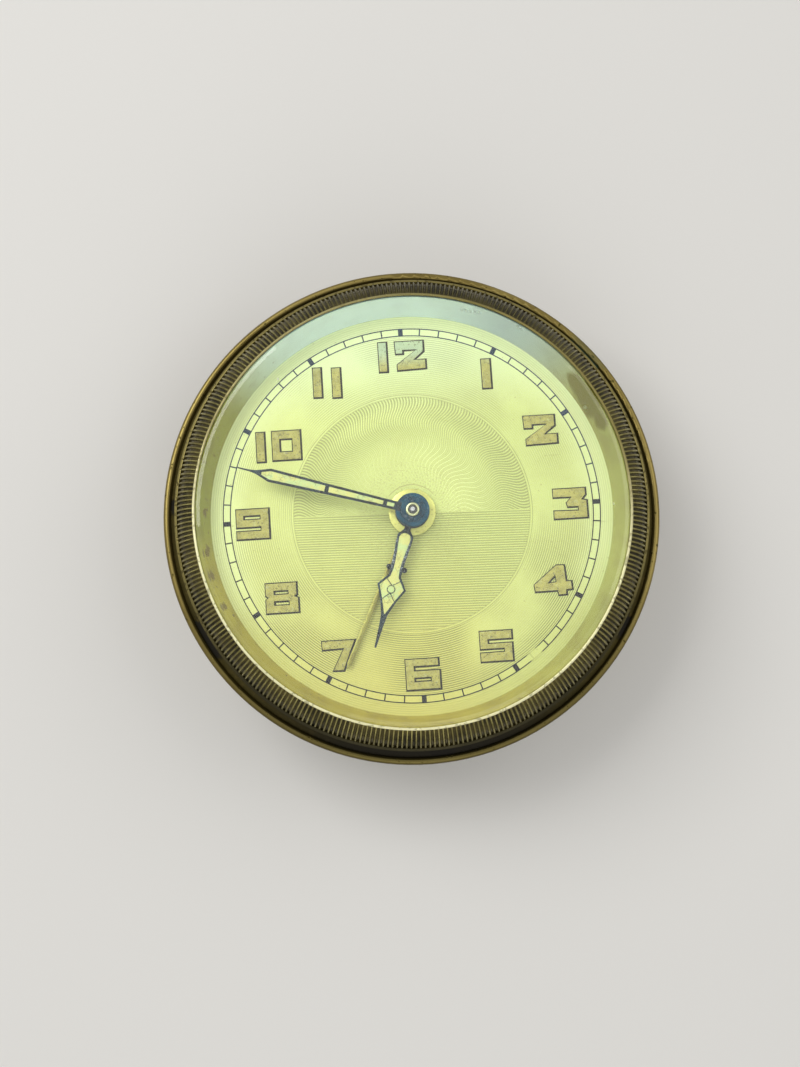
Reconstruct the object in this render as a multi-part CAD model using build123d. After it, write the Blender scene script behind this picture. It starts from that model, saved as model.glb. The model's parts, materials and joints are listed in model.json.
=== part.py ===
from build123d import *
import math
import os

# Round travel alarm clock head, lying on its back: dial up, +Z out of the dial, 12 o'clock at +Y.
# The origin is the centre of the rear rim, on the surface that it rests on. All sizes are in mm and
# all directions in degrees, anticlockwise from +X as seen from the front.

# Case, from the drum outwards
DRUM_RADIUS = 31.0
DRUM_WALL = 0.6
FLANGE_WIDTH = 3.45
FLANGE_THICKNESS = 0.7
LIP_BEAD_RADIUS = 0.55
GROOVE_DEPTH = 0.3
GROOVE_SAG = 0.35
BEAD_INNER_DIRECTION = 127
NECK_STEP = 0.5
NECK_WALL = 0.6
NECK_TOP = 4.4
SHOULDER_WIDTH = 0.8
SHOULDER_HEIGHT = 2.25
LEDGE_WIDTH = 1.1
LEDGE_THICKNESS = 0.7
EDGE_BREAK = 0.12

# Stack of levels, from the table up to the glass
RECESS_DEPTH = 4.4
COVER_THICKNESS = 0.6
COVER_SPACE = 1.9
PLATE_THICKNESS = 1.0
PLATE_GAP = 7.4
DIAL_SPACE = 3.3
DIAL_THICKNESS = 0.4
GLASS_RISE = 4.9
GLASS_THICKNESS = 1.0
GLASS_BEVEL = 0.65

# Bezel, glass, cone ring and dial
BEZEL_BASE_WIDTH = 1.45
BEZEL_EDGE_HEIGHT = 0.4
BEZEL_EDGE_STEP = 0.35
BEZEL_CROWN = 0.45
BEZEL_LIP_WIDTH = 0.35
BEZEL_LIP_RISE = 0.2
GLASS_OPENING_STEP = 1.1
GLASS_EDGE_GAP = 0.3
CONE_SHEET = 0.35
CONE_FOOT_STEP = 0.3
DIAL_EDGE_GAP = 0.7
DIAL_FOOT_RADIUS = 0.6
DIAL_FOOT_INSET = 1.6
DIAL_FOOT_DIRECTIONS = (60, 150, 300)

# Clearances, and how far a cutter passes the faces that it cuts
SLIDE_FIT = 0.05
PIVOT_FIT = 0.03
HOLE_CLEARANCE = 0.3
SPACING = 0.1
OVERRUN = 1.0

# Toothed wheels: tooth counts and modules
GREAT_TEETH = 60
CENTRE_LEAVES = 10
BARREL_MODULE = 0.38
CENTRE_TEETH = 64
THIRD_LEAVES = 8
CENTRE_MODULE = 0.32
THIRD_TEETH = 60
FOURTH_LEAVES = 8
THIRD_MODULE = 0.28
FOURTH_TEETH = 56
ESCAPE_LEAVES = 7
FOURTH_MODULE = 0.22
ALARM_GREAT_TEETH = 48
VERGE_LEAVES = 8
CANNON_LEAVES = 12
MINUTE_TEETH = 36
MOTION_MODULE = 0.30
MINUTE_LEAVES = 10
HOUR_TEETH = 40
ALARM_SET_TEETH = 60
ALARM_SET_LEAVES = 20
WHEEL_TOOTH = {"share": 0.44, "rise": 0.9, "depth": 1.2}
LEAF_TOOTH = {"share": 0.38, "rise": 0.7, "depth": 1.3}
TOOTH_TIP_SHARE = 0.45
TOOTH_ROOT_SHARE = 1.12

# Directions from each arbor to the next one
TIME_BARREL_DIRECTION = 215
ALARM_BARREL_DIRECTION = 325
THIRD_DIRECTION = 140
FOURTH_DIRECTION = 35
ESCAPE_DIRECTION = -5
PALLET_DIRECTION = 20
BALANCE_DIRECTION = -40
VERGE_DIRECTION = 5
HAMMER_DIRECTION = 100
MINUTE_WHEEL_DIRECTION = 270
ALARM_SETTER_DIRECTION = 13

# Wheels, arbors and plates
WHEEL_THICKNESS = 0.4
GREAT_WHEEL_THICKNESS = 0.8
LEAF_OVERHANG = 0.2
ARBOR_RADIUS = 0.5
PIVOT_RADIUS = 0.25
CENTRE_PIN_RADIUS = 0.45
CANNON_PIPE_WALL = 0.45
CANNON_SEAT_STEP = 0.15
HOUR_PIPE_WALL = 0.45
ALARM_PIPE_WALL = 0.5
MINUTE_POST_RADIUS = 0.4
SETTER_RADIUS = 0.6
WHEEL_RIM_WIDTH = 1.1
SPOKE_WIDTH = 0.8
SPOKES = 4
FOURTH_WHEEL_RISE = 2.1
ESCAPE_WHEEL_RISE = 1.4
REAR_PLATE_MARGIN = 2.9
PILLAR_INSET = 2.5
PILLAR_DIRECTIONS = (4, 90, 168, 270)
PILLAR_RADIUS = 1.6
PILLAR_TENON_RADIUS = 0.9
NUT_RADIUS = 1.9
COVER_SCREW_RADIUS = 0.5
COVER_SCREW_HEAD_RADIUS = 1.2
COVER_SCREW_HEAD = 0.6
COVER_SCREW_LENGTH = 3.4
SCREW_SLOT_WIDTH = 0.3
SCREW_SLOT_DEPTH = 0.25

# Barrels with their mainsprings, ratchets and keys
BARREL_FLOAT = 0.3
BARREL_HEIGHT = 3.4
BARREL_WALL = 0.5
BARREL_LID = 0.3
BARREL_SHOULDER = 1.0
BARREL_ARBOR_RADIUS = 1.3
BARREL_CORE_RADIUS = 2.0
BARREL_PIVOT_RADIUS = 0.9
MAINSPRING_THICKNESS = 0.3
MAINSPRING_TURNS = 9
ALARM_SPRING_TURNS = 7
RATCHET_TEETH = 24
RATCHET_RADIUS = 4.0
RATCHET_DEPTH = 0.5
RATCHET_THICKNESS = 0.65
CLICK_REACH = 6.4
CLICK_PIVOT_RADIUS = 0.6
CLICK_EYE_RADIUS = 1.1
CLICK_LEAD = 50
CLICK_TIP_TURN = 1.5
CLICK_TIP_HEIGHT = 0.5
CLICK_NOSE_TURN = 12
CLICK_NOSE_HEIGHT = 1.1
CLICK_HEEL_TURN = 25
TIME_CLICK_DIRECTION = 180
ALARM_CLICK_DIRECTION = 250
CLICK_SPRING_THICKNESS = 0.25
CLICK_SPRING_START = 28
CLICK_SPRING_TURN = 60
CLICK_FOOT_TURN = 12
CLICK_FOOT_MARGIN = 0.5
KEY_WING_REACH = 5.5
KEY_WING_HEIGHT = 2.7
KEY_WING_THICKNESS = 1.0
KEY_HUB_RADIUS = 2.0
KEY_CLEAR_OF_TABLE = 0.6
TIME_KEY_TURN = 30
ALARM_KEY_TURN = -30
KNOB_RADIUS = 3.0
KNOB_HEIGHT = 2.2
KNOB_FLUTES = 24
KNOB_FLUTE_DEPTH = 0.18
KNOB_COVER_GAP = 0.5

# Escapement
ESCAPE_TEETH = 15
ESCAPE_RADIUS = 4.0
ESCAPE_TOOTH_DEPTH = 1.0
ESCAPE_TOOTH_LEAN = 9
PALLET_DISTANCE = 5.6
PALLET_PIN_RADIUS = 0.15
PALLET_SPREAD = 36
PALLET_SWING = 4
PALLET_BAR_WIDTH = 0.6
PALLET_BAR_THICKNESS = 0.3
BALANCE_DISTANCE = 7.4
BALANCE_RADIUS = 6.5
BALANCE_RIM_WIDTH = 0.9
BALANCE_RIM_THICKNESS = 0.9
BALANCE_STAFF_RADIUS = 0.45
BALANCE_PIVOT = 0.5
ROLLER_RADIUS = 1.9
ROLLER_THICKNESS = 0.3
IMPULSE_PIN_CIRCLE = 1.5
IMPULSE_PIN_RADIUS = 0.12
FORK_GAP = 0.25
FORK_WIDTH = 1.2
FORK_SLOT = 0.5
HAIRSPRING_INNER = 1.2
HAIRSPRING_TURNS = 6
HAIRSPRING_PITCH = 0.55
HAIRSPRING_THICKNESS = 0.12
HAIRSPRING_HEIGHT = 0.4
HAIRSPRING_START = 30
HAIRSPRING_RISE = 0.7
STUD_RADIUS = 0.3
BALANCE_SCREW_RADIUS = 1.35
BALANCE_SCREW_HEAD_RADIUS = 1.9
REGULATOR_EYE_RADIUS = 2.5
REGULATOR_REACH = 6.0
REGULATOR_DIRECTION = 100
REGULATOR_SWING = 25
REGULATOR_PIN_RADIUS = 0.12
CURB_PIN_GAP = 0.08
LEVER_THICKNESS = 0.4
LEVER_WIDTH = 1.0
LEVER_PIN_RADIUS = 0.5
LEVER_BUTTON_RADIUS = 1.4
LEVER_BUTTON_HEIGHT = 1.6

# Alarm
VERGE_RADIUS = 3.5
VERGE_TEETH = 20
VERGE_TOOTH_LEAN = 8
HAMMER_DISTANCE = 5.0
HAMMER_SWING = 6
HAMMER_HEAD_DIRECTION = -24.5
HAMMER_ARM_RISE = 2.1
HAMMER_ARM_WIDTH = 1.0
HAMMER_ARM_THICKNESS = 0.6
HAMMER_HEAD_RADIUS = 1.1
HAMMER_HEAD_HEIGHT = 3.4
HAMMER_WALL_GAP = 1.25
STOP_PIVOT_INSET = 3.6
STOP_PIVOT_DIRECTION = 322.5
STOP_FINGER_ALONG = 7.75
STOP_FINGER_GAP = 0.6
STOP_BUTTON_REACH = 5.0
STOP_BUTTON_DIRECTION = 222
STOP_SWING = 11
STOP_FINGER_RADIUS = 0.4
RELEASE_FOOT_DISTANCE = 12.5
RELEASE_FOOT_SIZE = 2.4
RELEASE_BLADE_WIDTH = 1.6
RELEASE_FORK_RADIUS = 2.4
RELEASE_FORK_WIDTH = 1.1
ALARM_WHEEL_HOLES = 6
ALARM_WHEEL_HOLE_RADIUS = 1.5

# Hands, as (half width, distance from the axis) outlines, and where they point, clockwise from 12
HAND_THICKNESS = 0.2
HAND_FRAME = 0.36
FILLING_THICKNESS = 0.14
ALARM_HAND_RISE = 0.6
HOUR_HAND_RISE = 1.75
MINUTE_HAND_RISE = 3.3
HUB_THICKNESS = 0.5
ALARM_HUB_RADIUS = 3.3
HOUR_HUB_RADIUS = 2.4
MINUTE_HUB_RADIUS = 2.35
COLLET_RADIUS = 0.9
COLLET_HEIGHT = 0.35
PIN_STAND = 0.25
MINUTE_HAND_ANGLE = 287.2
HOUR_HAND_ANGLE = 198.8
ALARM_HAND_ANGLE = 206.0
MINUTE_OUTLINE = (
    (0.60, 1.5), (0.62, 3.9), (0.76, 12.2), (0.95, 20.3), (0.26, 22.3), (0.13, 23.2), (0.08, 25.1),
)
MINUTE_WINDOW_ENDS = (2.6, 21.5)
MINUTE_BARS = (3.9, 12.2)
HOUR_OUTLINE = (
    (0.38, 1.5), (0.46, 2.75), (1.14, 3.6), (1.10, 4.7), (0.90, 7.3), (0.86, 9.3),
    (2.05, 11.0), (1.12, 12.9), (0.44, 15.0), (0.30, 16.5), (0.13, 19.6),
)
HOUR_WINDOW = (
    (0.20, 3.25), (0.62, 3.45), (0.82, 3.9), (0.74, 4.7), (0.46, 7.3), (0.44, 8.4),
    (0.58, 9.5), (1.72, 11.0), (0.84, 12.9), (0.06, 14.8),
)
HOUR_KNOB_DISTANCE = 8.3
HOUR_KNOB_OFFSET = 1.10
HOUR_KNOB_RADIUS = 0.38
HOUR_RING_DISTANCE = 11.3
HOUR_RING_RADIUS = 0.6
HOUR_RING_WIDTH = 0.14
HOUR_BAR_ENDS = ((1.30, -0.98), (1.05, 1.20))
MINUTE_BAR_WIDTH = 0.55
ALARM_OUTLINE = ((0.34, 1.5), (0.34, 22.8), (0.10, 23.6))

# Radii that follow from the drum
DRUM_BORE = DRUM_RADIUS - DRUM_WALL
FRONT_PLATE_RADIUS = DRUM_BORE - SLIDE_FIT
REAR_PLATE_RADIUS = DRUM_BORE - REAR_PLATE_MARGIN
LEDGE_RADIUS = DRUM_BORE - LEDGE_WIDTH
DIAL_RADIUS = LEDGE_RADIUS - DIAL_EDGE_GAP
DIAL_FOOT_CIRCLE = DIAL_RADIUS - DIAL_FOOT_INSET
PILLAR_CIRCLE = REAR_PLATE_RADIUS - PILLAR_INSET
NECK_RADIUS = DRUM_RADIUS + NECK_STEP
NECK_BORE = NECK_RADIUS - NECK_WALL
BEAD_CENTRE_RADIUS = DRUM_RADIUS + FLANGE_WIDTH
BEZEL_BORE = NECK_RADIUS + SLIDE_FIT
BEZEL_BASE_RADIUS = BEZEL_BORE + BEZEL_BASE_WIDTH
GLASS_OPENING = DIAL_RADIUS + GLASS_OPENING_STEP
GLASS_RADIUS = NECK_BORE - GLASS_EDGE_GAP
CANNON_PIPE_RADIUS = CENTRE_PIN_RADIUS + CANNON_PIPE_WALL
CANNON_SEAT_RADIUS = CANNON_PIPE_RADIUS - CANNON_SEAT_STEP
HOUR_PIPE_RADIUS = CANNON_PIPE_RADIUS + HOUR_PIPE_WALL
ALARM_PIPE_RADIUS = HOUR_PIPE_RADIUS + ALARM_PIPE_WALL
HAIRSPRING_OUTER = HAIRSPRING_INNER + HAIRSPRING_TURNS * HAIRSPRING_PITCH
CURBED_SHARE = (REGULATOR_DIRECTION - HAIRSPRING_START) / 360
CURBED_COIL_RADIUS = HAIRSPRING_OUTER - HAIRSPRING_PITCH * (1 - CURBED_SHARE)

# Levels that follow from the stack
COVER_Z = RECESS_DEPTH
COVER_TOP = COVER_Z + COVER_THICKNESS
REAR_Z = COVER_TOP + COVER_SPACE
REAR_TOP = REAR_Z + PLATE_THICKNESS
FRONT_Z = REAR_TOP + PLATE_GAP
FRONT_TOP = FRONT_Z + PLATE_THICKNESS
DIAL_Z = FRONT_TOP + DIAL_SPACE
DIAL_TOP = DIAL_Z + DIAL_THICKNESS
GLASS_Z = DIAL_TOP + GLASS_RISE
GLASS_TOP = GLASS_Z + GLASS_THICKNESS
GREAT_Z = REAR_TOP + BARREL_FLOAT
BARREL_Z = GREAT_Z + GREAT_WHEEL_THICKNESS
BARREL_TOP = BARREL_Z + BARREL_HEIGHT
CENTRE_WHEEL_Z = BARREL_TOP + BARREL_LID + 4 * SPACING
THIRD_WHEEL_Z = CENTRE_WHEEL_Z + 2 * WHEEL_THICKNESS
FOURTH_WHEEL_Z = REAR_TOP + FOURTH_WHEEL_RISE
ESCAPE_WHEEL_Z = FOURTH_WHEEL_Z + ESCAPE_WHEEL_RISE
PALLET_BAR_Z = ESCAPE_WHEEL_Z + WHEEL_THICKNESS + SPACING
BALANCE_RIM_Z = FOURTH_WHEEL_Z
HAIRSPRING_Z = REAR_TOP + HAIRSPRING_RISE
VERGE_WHEEL_Z = CENTRE_WHEEL_Z - SPACING
HAMMER_ARM_Z = REAR_TOP + HAMMER_ARM_RISE
RATCHET_Z = REAR_Z - SPACING - RATCHET_THICKNESS
CANNON_Z = FRONT_TOP + 4 * SPACING
MINUTE_WHEEL_Z = CANNON_Z + 2 * SPACING
MINUTE_LEAF_Z = CANNON_Z + 2 * WHEEL_THICKNESS
HOUR_WHEEL_Z = MINUTE_LEAF_Z + 4 * SPACING
ALARM_WHEEL_Z = HOUR_WHEEL_Z + 2 * WHEEL_THICKNESS
ALARM_HAND_Z = DIAL_TOP + ALARM_HAND_RISE
HOUR_HAND_Z = DIAL_TOP + HOUR_HAND_RISE
MINUTE_HAND_Z = DIAL_TOP + MINUTE_HAND_RISE
MINUTE_HUB_Z = MINUTE_HAND_Z - (HUB_THICKNESS - HAND_THICKNESS) / 2
HUB_TOP = MINUTE_HUB_Z + HUB_THICKNESS
MINUTE_POST_TOP = ALARM_WHEEL_Z - 2 * SPACING
BALANCE_SCREW_TOP = REAR_TOP + 2 * SPACING
FRONT_SCREW_Z = FRONT_Z - 4 * SPACING


def polar(radius, degrees, centre=(0.0, 0.0)):
    """Point at a radius and direction from a centre."""
    turn = math.radians(degrees)
    return (centre[0] + radius * math.cos(turn), centre[1] + radius * math.sin(turn))


def direction(start, end):
    """Direction in degrees from one point to another."""
    return math.degrees(math.atan2(end[1] - start[1], end[0] - start[0]))


def mesh_distance(teeth, leaves, module):
    """Distance between two arbors whose wheels mesh."""
    return module * (teeth + leaves) / 2


def lifted(face, bottom, top):
    """A flat face in XY raised into a solid between two levels."""
    return extrude(Pos(0, 0, bottom) * face, amount=top - bottom, dir=(0, 0, 1))


def slab(points, bottom, top):
    """A flat piece with a straight-sided outline."""
    return lifted(make_face(Polyline(*points, close=True)), bottom, top)


def rod(radius, bottom, top, centre=(0.0, 0.0)):
    """An upright cylinder between two levels."""
    return Pos(centre[0], centre[1], (bottom + top) / 2) * Cylinder(radius, top - bottom)


def tube(radius, bore, bottom, top, centre=(0.0, 0.0)):
    """An upright ring between two levels."""
    return rod(radius, bottom, top, centre) - rod(bore, bottom - OVERRUN, top + OVERRUN, centre)


def turned(points):
    """A solid of revolution about Z from (radius, level) points."""
    return revolve(Plane.XZ * make_face(Polyline(*points, close=True)), Axis.Z)


def turned_edges(edges):
    """A solid of revolution about Z from edges drawn as (radius, level)."""
    return revolve(Plane.XZ * make_face(edges), Axis.Z)


def sector(inner, outer, start, end, bottom, top, centre=(0.0, 0.0)):
    """Part of an upright ring between two directions."""
    rim = CenterArc(centre, outer, start, end - start)
    bore = CenterArc(centre, inner, start, end - start)
    face = make_face([rim, Line(rim @ 1, bore @ 1), bore, Line(bore @ 0, rim @ 0)])
    return lifted(face, bottom, top)


def bar(start, end, width, bottom, top):
    """A flat bar between two points, with round ends."""
    span = math.dist(start, end)
    middle = ((start[0] + end[0]) / 2, (start[1] + end[1]) / 2)
    straight = Rot(0, 0, direction(start, end)) * Box(span, width, top - bottom)
    straight = Pos(*middle, (bottom + top) / 2) * straight
    return straight + rod(width / 2, bottom, top, start) + rod(width / 2, bottom, top, end)


def toothed(teeth, module, shape, bottom, top, centre, phase):
    """A spur wheel whose first tooth points in the direction given by phase."""
    radius = teeth * module / 2
    half = math.degrees(shape["share"] * math.pi / teeth)
    steps = (
        (radius - shape["depth"] * module, half * TOOTH_ROOT_SHARE),
        (radius, half),
        (radius + shape["rise"] * module, half * TOOTH_TIP_SHARE),
    )
    points = []
    for tooth in range(teeth):
        middle = phase + tooth * 360 / teeth
        points += [polar(distance, middle - turn, centre) for distance, turn in steps]
        points += [polar(distance, middle + turn, centre) for distance, turn in reversed(steps)]
    return slab(points, bottom, top)


def saw_toothed(teeth, radius, depth, lean, bottom, top, centre, phase):
    """A wheel of slanted teeth: each has one steep face, which leans by the given angle."""
    points = []
    for tooth in range(teeth):
        steep = phase + tooth * 360 / teeth
        points.append(polar(radius - depth, steep + lean, centre))
        points.append(polar(radius, steep, centre))
    return slab(points, bottom, top)


def spoked(wheel, rim_radius, bottom, top, centre, turn):
    """Cuts the openings between the spokes out of a wheel."""
    hub = 3 * ARBOR_RADIUS
    reach = rim_radius - WHEEL_RIM_WIDTH
    for spoke in range(SPOKES):
        start = turn + spoke * 360 / SPOKES
        inner_half = math.degrees(SPOKE_WIDTH / 2 / hub)
        outer_half = math.degrees(SPOKE_WIDTH / 2 / reach)
        corners = (
            CenterArc(centre, reach, start + outer_half, 360 / SPOKES - 2 * outer_half),
            CenterArc(centre, hub, start + inner_half, 360 / SPOKES - 2 * inner_half),
        )
        sides = (Line(corners[0] @ 1, corners[1] @ 1), Line(corners[1] @ 0, corners[0] @ 0))
        opening = make_face([corners[0], sides[0], corners[1], sides[1]])
        wheel -= lifted(opening, bottom - OVERRUN, top + OVERRUN)
    return wheel


def train_wheel(teeth, module, bottom, centre, partner):
    """A spoked brass wheel with a tooth on the line to its partner, bored for its arbor."""
    top = bottom + WHEEL_THICKNESS
    towards = direction(centre, partner)
    wheel = toothed(teeth, module, WHEEL_TOOTH, bottom, top, centre, towards)
    wheel = spoked(wheel, teeth * module / 2, bottom, top, centre, towards)
    return wheel - rod(ARBOR_RADIUS, bottom - OVERRUN, top + OVERRUN, centre)


def pinion(leaves, module, bottom, top, centre, partner):
    """The leaves of a pinion, with a gap on the line to its partner."""
    phase = direction(centre, partner) + 180 / leaves
    return toothed(leaves, module, LEAF_TOOTH, bottom, top, centre, phase)


def arbor(centre, radius=ARBOR_RADIUS, pivot=PIVOT_RADIUS):
    """A shaft between the plates with a pivot in each."""
    shaft = rod(radius, REAR_TOP + SPACING, FRONT_Z - SPACING, centre)
    return shaft + rod(pivot, REAR_Z + SPACING, FRONT_TOP - SPACING, centre)


def spiral(centre, inner, outer, turns, thickness, bottom, top, start):
    """A flat strip wound in a spiral, standing on its edge."""
    steps = int(turns * 12)
    sides = []
    for offset in (-thickness / 2, thickness / 2):
        points = [
            polar(inner + (outer - inner) * step / steps + offset, start + 360 * turns * step / steps, centre)
            for step in range(steps + 1)
        ]
        sides.append(Spline(*points))
    ends = [Line(sides[0] @ 0, sides[1] @ 0), Line(sides[0] @ 1, sides[1] @ 1)]
    return lifted(make_face([sides[0], ends[1], sides[1], ends[0]]), bottom, top)


# Arbor centres
CENTRE = (0.0, 0.0)
TIME_BARREL = polar(mesh_distance(GREAT_TEETH, CENTRE_LEAVES, BARREL_MODULE), TIME_BARREL_DIRECTION)
ALARM_BARREL = polar(mesh_distance(GREAT_TEETH, CENTRE_LEAVES, BARREL_MODULE), ALARM_BARREL_DIRECTION)
THIRD = polar(mesh_distance(CENTRE_TEETH, THIRD_LEAVES, CENTRE_MODULE), THIRD_DIRECTION)
FOURTH = polar(mesh_distance(THIRD_TEETH, FOURTH_LEAVES, THIRD_MODULE), FOURTH_DIRECTION, THIRD)
ESCAPE = polar(mesh_distance(FOURTH_TEETH, ESCAPE_LEAVES, FOURTH_MODULE), ESCAPE_DIRECTION, FOURTH)
PALLET = polar(PALLET_DISTANCE, PALLET_DIRECTION, ESCAPE)
BALANCE = polar(BALANCE_DISTANCE, BALANCE_DIRECTION, PALLET)
VERGE = polar(mesh_distance(ALARM_GREAT_TEETH, VERGE_LEAVES, BARREL_MODULE), VERGE_DIRECTION, ALARM_BARREL)
HAMMER = polar(HAMMER_DISTANCE, HAMMER_DIRECTION, VERGE)
MOTION_DISTANCE = mesh_distance(MINUTE_TEETH, CANNON_LEAVES, MOTION_MODULE)
HOUR_MODULE = 2 * MOTION_DISTANCE / (HOUR_TEETH + MINUTE_LEAVES)
MINUTE_WHEEL = polar(MOTION_DISTANCE, MINUTE_WHEEL_DIRECTION)
HAND_SETTER = polar(2 * MOTION_DISTANCE, MINUTE_WHEEL_DIRECTION)
ALARM_SETTER = polar(mesh_distance(ALARM_SET_TEETH, ALARM_SET_LEAVES, MOTION_MODULE), ALARM_SETTER_DIRECTION)
STOP_PIVOT = polar(REAR_PLATE_RADIUS - STOP_PIVOT_INSET, STOP_PIVOT_DIRECTION)
PILLARS = [polar(PILLAR_CIRCLE, turn) for turn in PILLAR_DIRECTIONS]
HEAD_CIRCLE = DRUM_BORE - HAMMER_WALL_GAP - HAMMER_HEAD_RADIUS
HAMMER_HEAD = polar(HEAD_CIRCLE, HAMMER_HEAD_DIRECTION)
HAMMER_ARM_DIRECTION = direction(HAMMER, HAMMER_HEAD)
STOP_FINGER = polar(
    HAMMER_ARM_WIDTH / 2 + STOP_FINGER_GAP + STOP_FINGER_RADIUS,
    HAMMER_ARM_DIRECTION - 90,
    polar(STOP_FINGER_ALONG, HAMMER_ARM_DIRECTION, HAMMER),
)
STOP_FINGER_REACH = math.dist(STOP_PIVOT, STOP_FINGER)
STOP_FINGER_DIRECTION = direction(STOP_PIVOT, STOP_FINGER)
HAIRSPRING_END = HAIRSPRING_START + 360 * HAIRSPRING_TURNS
HAIRSPRING_STUD = polar(
    HAIRSPRING_OUTER, HAIRSPRING_END + math.degrees(STUD_RADIUS / HAIRSPRING_OUTER), BALANCE,
)
CLICKS = {
    "time": polar(CLICK_REACH, TIME_CLICK_DIRECTION, TIME_BARREL),
    "alarm": polar(CLICK_REACH, ALARM_CLICK_DIRECTION, ALARM_BARREL),
}


def make_case_shell():
    """Drum, inner ledge, flange with its rolled lip, dark groove and the neck that carries the bezel."""
    bead_z = DIAL_TOP + SPACING / 2 - LIP_BEAD_RADIUS
    flange_z = bead_z - LIP_BEAD_RADIUS
    shoulder_z = DIAL_TOP + SHOULDER_HEIGHT
    shoulder_radius = NECK_RADIUS + SHOULDER_WIDTH
    groove = (BEAD_CENTRE_RADIUS - LIP_BEAD_RADIUS, DIAL_TOP - GROOVE_DEPTH)
    shoulder = (shoulder_radius, shoulder_z)
    hollow = (
        shoulder_radius + GROOVE_SAG * (groove[0] - shoulder_radius),
        groove[1] + GROOVE_SAG * (shoulder_z - groove[1]),
    )
    start = (DRUM_BORE, EDGE_BREAK)
    corners = [
        start,
        (DRUM_BORE + EDGE_BREAK, 0),
        (DRUM_RADIUS - EDGE_BREAK, 0),
        (DRUM_RADIUS, EDGE_BREAK),
        (DRUM_RADIUS, flange_z - FLANGE_THICKNESS),
        (DRUM_RADIUS + FLANGE_THICKNESS, flange_z),
        (BEAD_CENTRE_RADIUS, flange_z),
    ]
    bead_top = polar(LIP_BEAD_RADIUS, BEAD_INNER_DIRECTION, (BEAD_CENTRE_RADIUS, bead_z))
    inside = [
        shoulder,
        (NECK_RADIUS, shoulder_z),
        (NECK_RADIUS, DIAL_TOP + NECK_TOP),
        (NECK_BORE, DIAL_TOP + NECK_TOP),
        (NECK_BORE, FRONT_TOP + LEDGE_THICKNESS),
        (LEDGE_RADIUS, FRONT_TOP + LEDGE_THICKNESS),
        (LEDGE_RADIUS, FRONT_TOP),
        (DRUM_BORE, FRONT_TOP),
        start,
    ]
    edges = list(Polyline(*corners).edges())
    edges.append(ThreePointArc(corners[-1], (BEAD_CENTRE_RADIUS + LIP_BEAD_RADIUS, bead_z), bead_top))
    edges.append(Line(bead_top, groove))
    edges.append(ThreePointArc(groove, hollow, shoulder))
    edges += list(Polyline(*inside).edges())
    return turned_edges(edges)


def make_back_cover():
    """Pressed cover with holes for the arbors and screws, and slots for the two levers."""
    cover = rod(DRUM_BORE - SLIDE_FIT, COVER_Z, COVER_TOP)
    holes = [
        (TIME_BARREL, BARREL_ARBOR_RADIUS + HOLE_CLEARANCE),
        (ALARM_BARREL, BARREL_ARBOR_RADIUS + HOLE_CLEARANCE),
        (HAND_SETTER, SETTER_RADIUS + HOLE_CLEARANCE),
        (ALARM_SETTER, SETTER_RADIUS + HOLE_CLEARANCE),
    ]
    holes += [(place, COVER_SCREW_RADIUS + SLIDE_FIT) for place in PILLARS]
    for place, radius in holes:
        cover -= rod(radius, COVER_Z - OVERRUN, COVER_TOP + OVERRUN, place)
    half = LEVER_PIN_RADIUS + HOLE_CLEARANCE
    for place, reach, towards, low, high in (
        (BALANCE, REGULATOR_REACH, REGULATOR_DIRECTION, -REGULATOR_SWING, REGULATOR_SWING),
        (STOP_PIVOT, STOP_BUTTON_REACH, STOP_BUTTON_DIRECTION, -STOP_SWING, 0),
    ):
        margin = math.degrees(half / reach)
        cover -= sector(
            reach - half, reach + half, towards + low - margin, towards + high + margin,
            COVER_Z - OVERRUN, COVER_TOP + OVERRUN, place,
        )
    return cover


def make_cover_screws():
    """Slotted screws that clamp the cover to the pillars."""
    screws = []
    for place in PILLARS:
        head_z = COVER_Z - COVER_SCREW_HEAD
        screw = rod(COVER_SCREW_HEAD_RADIUS, head_z, COVER_Z, place)
        screw += rod(COVER_SCREW_RADIUS, COVER_Z, head_z + COVER_SCREW_LENGTH, place)
        slot = Box(3 * COVER_SCREW_HEAD_RADIUS, SCREW_SLOT_WIDTH, 2 * SCREW_SLOT_DEPTH)
        screws.append(screw - Pos(*place, head_z) * slot)
    return Compound(children=screws)


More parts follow.
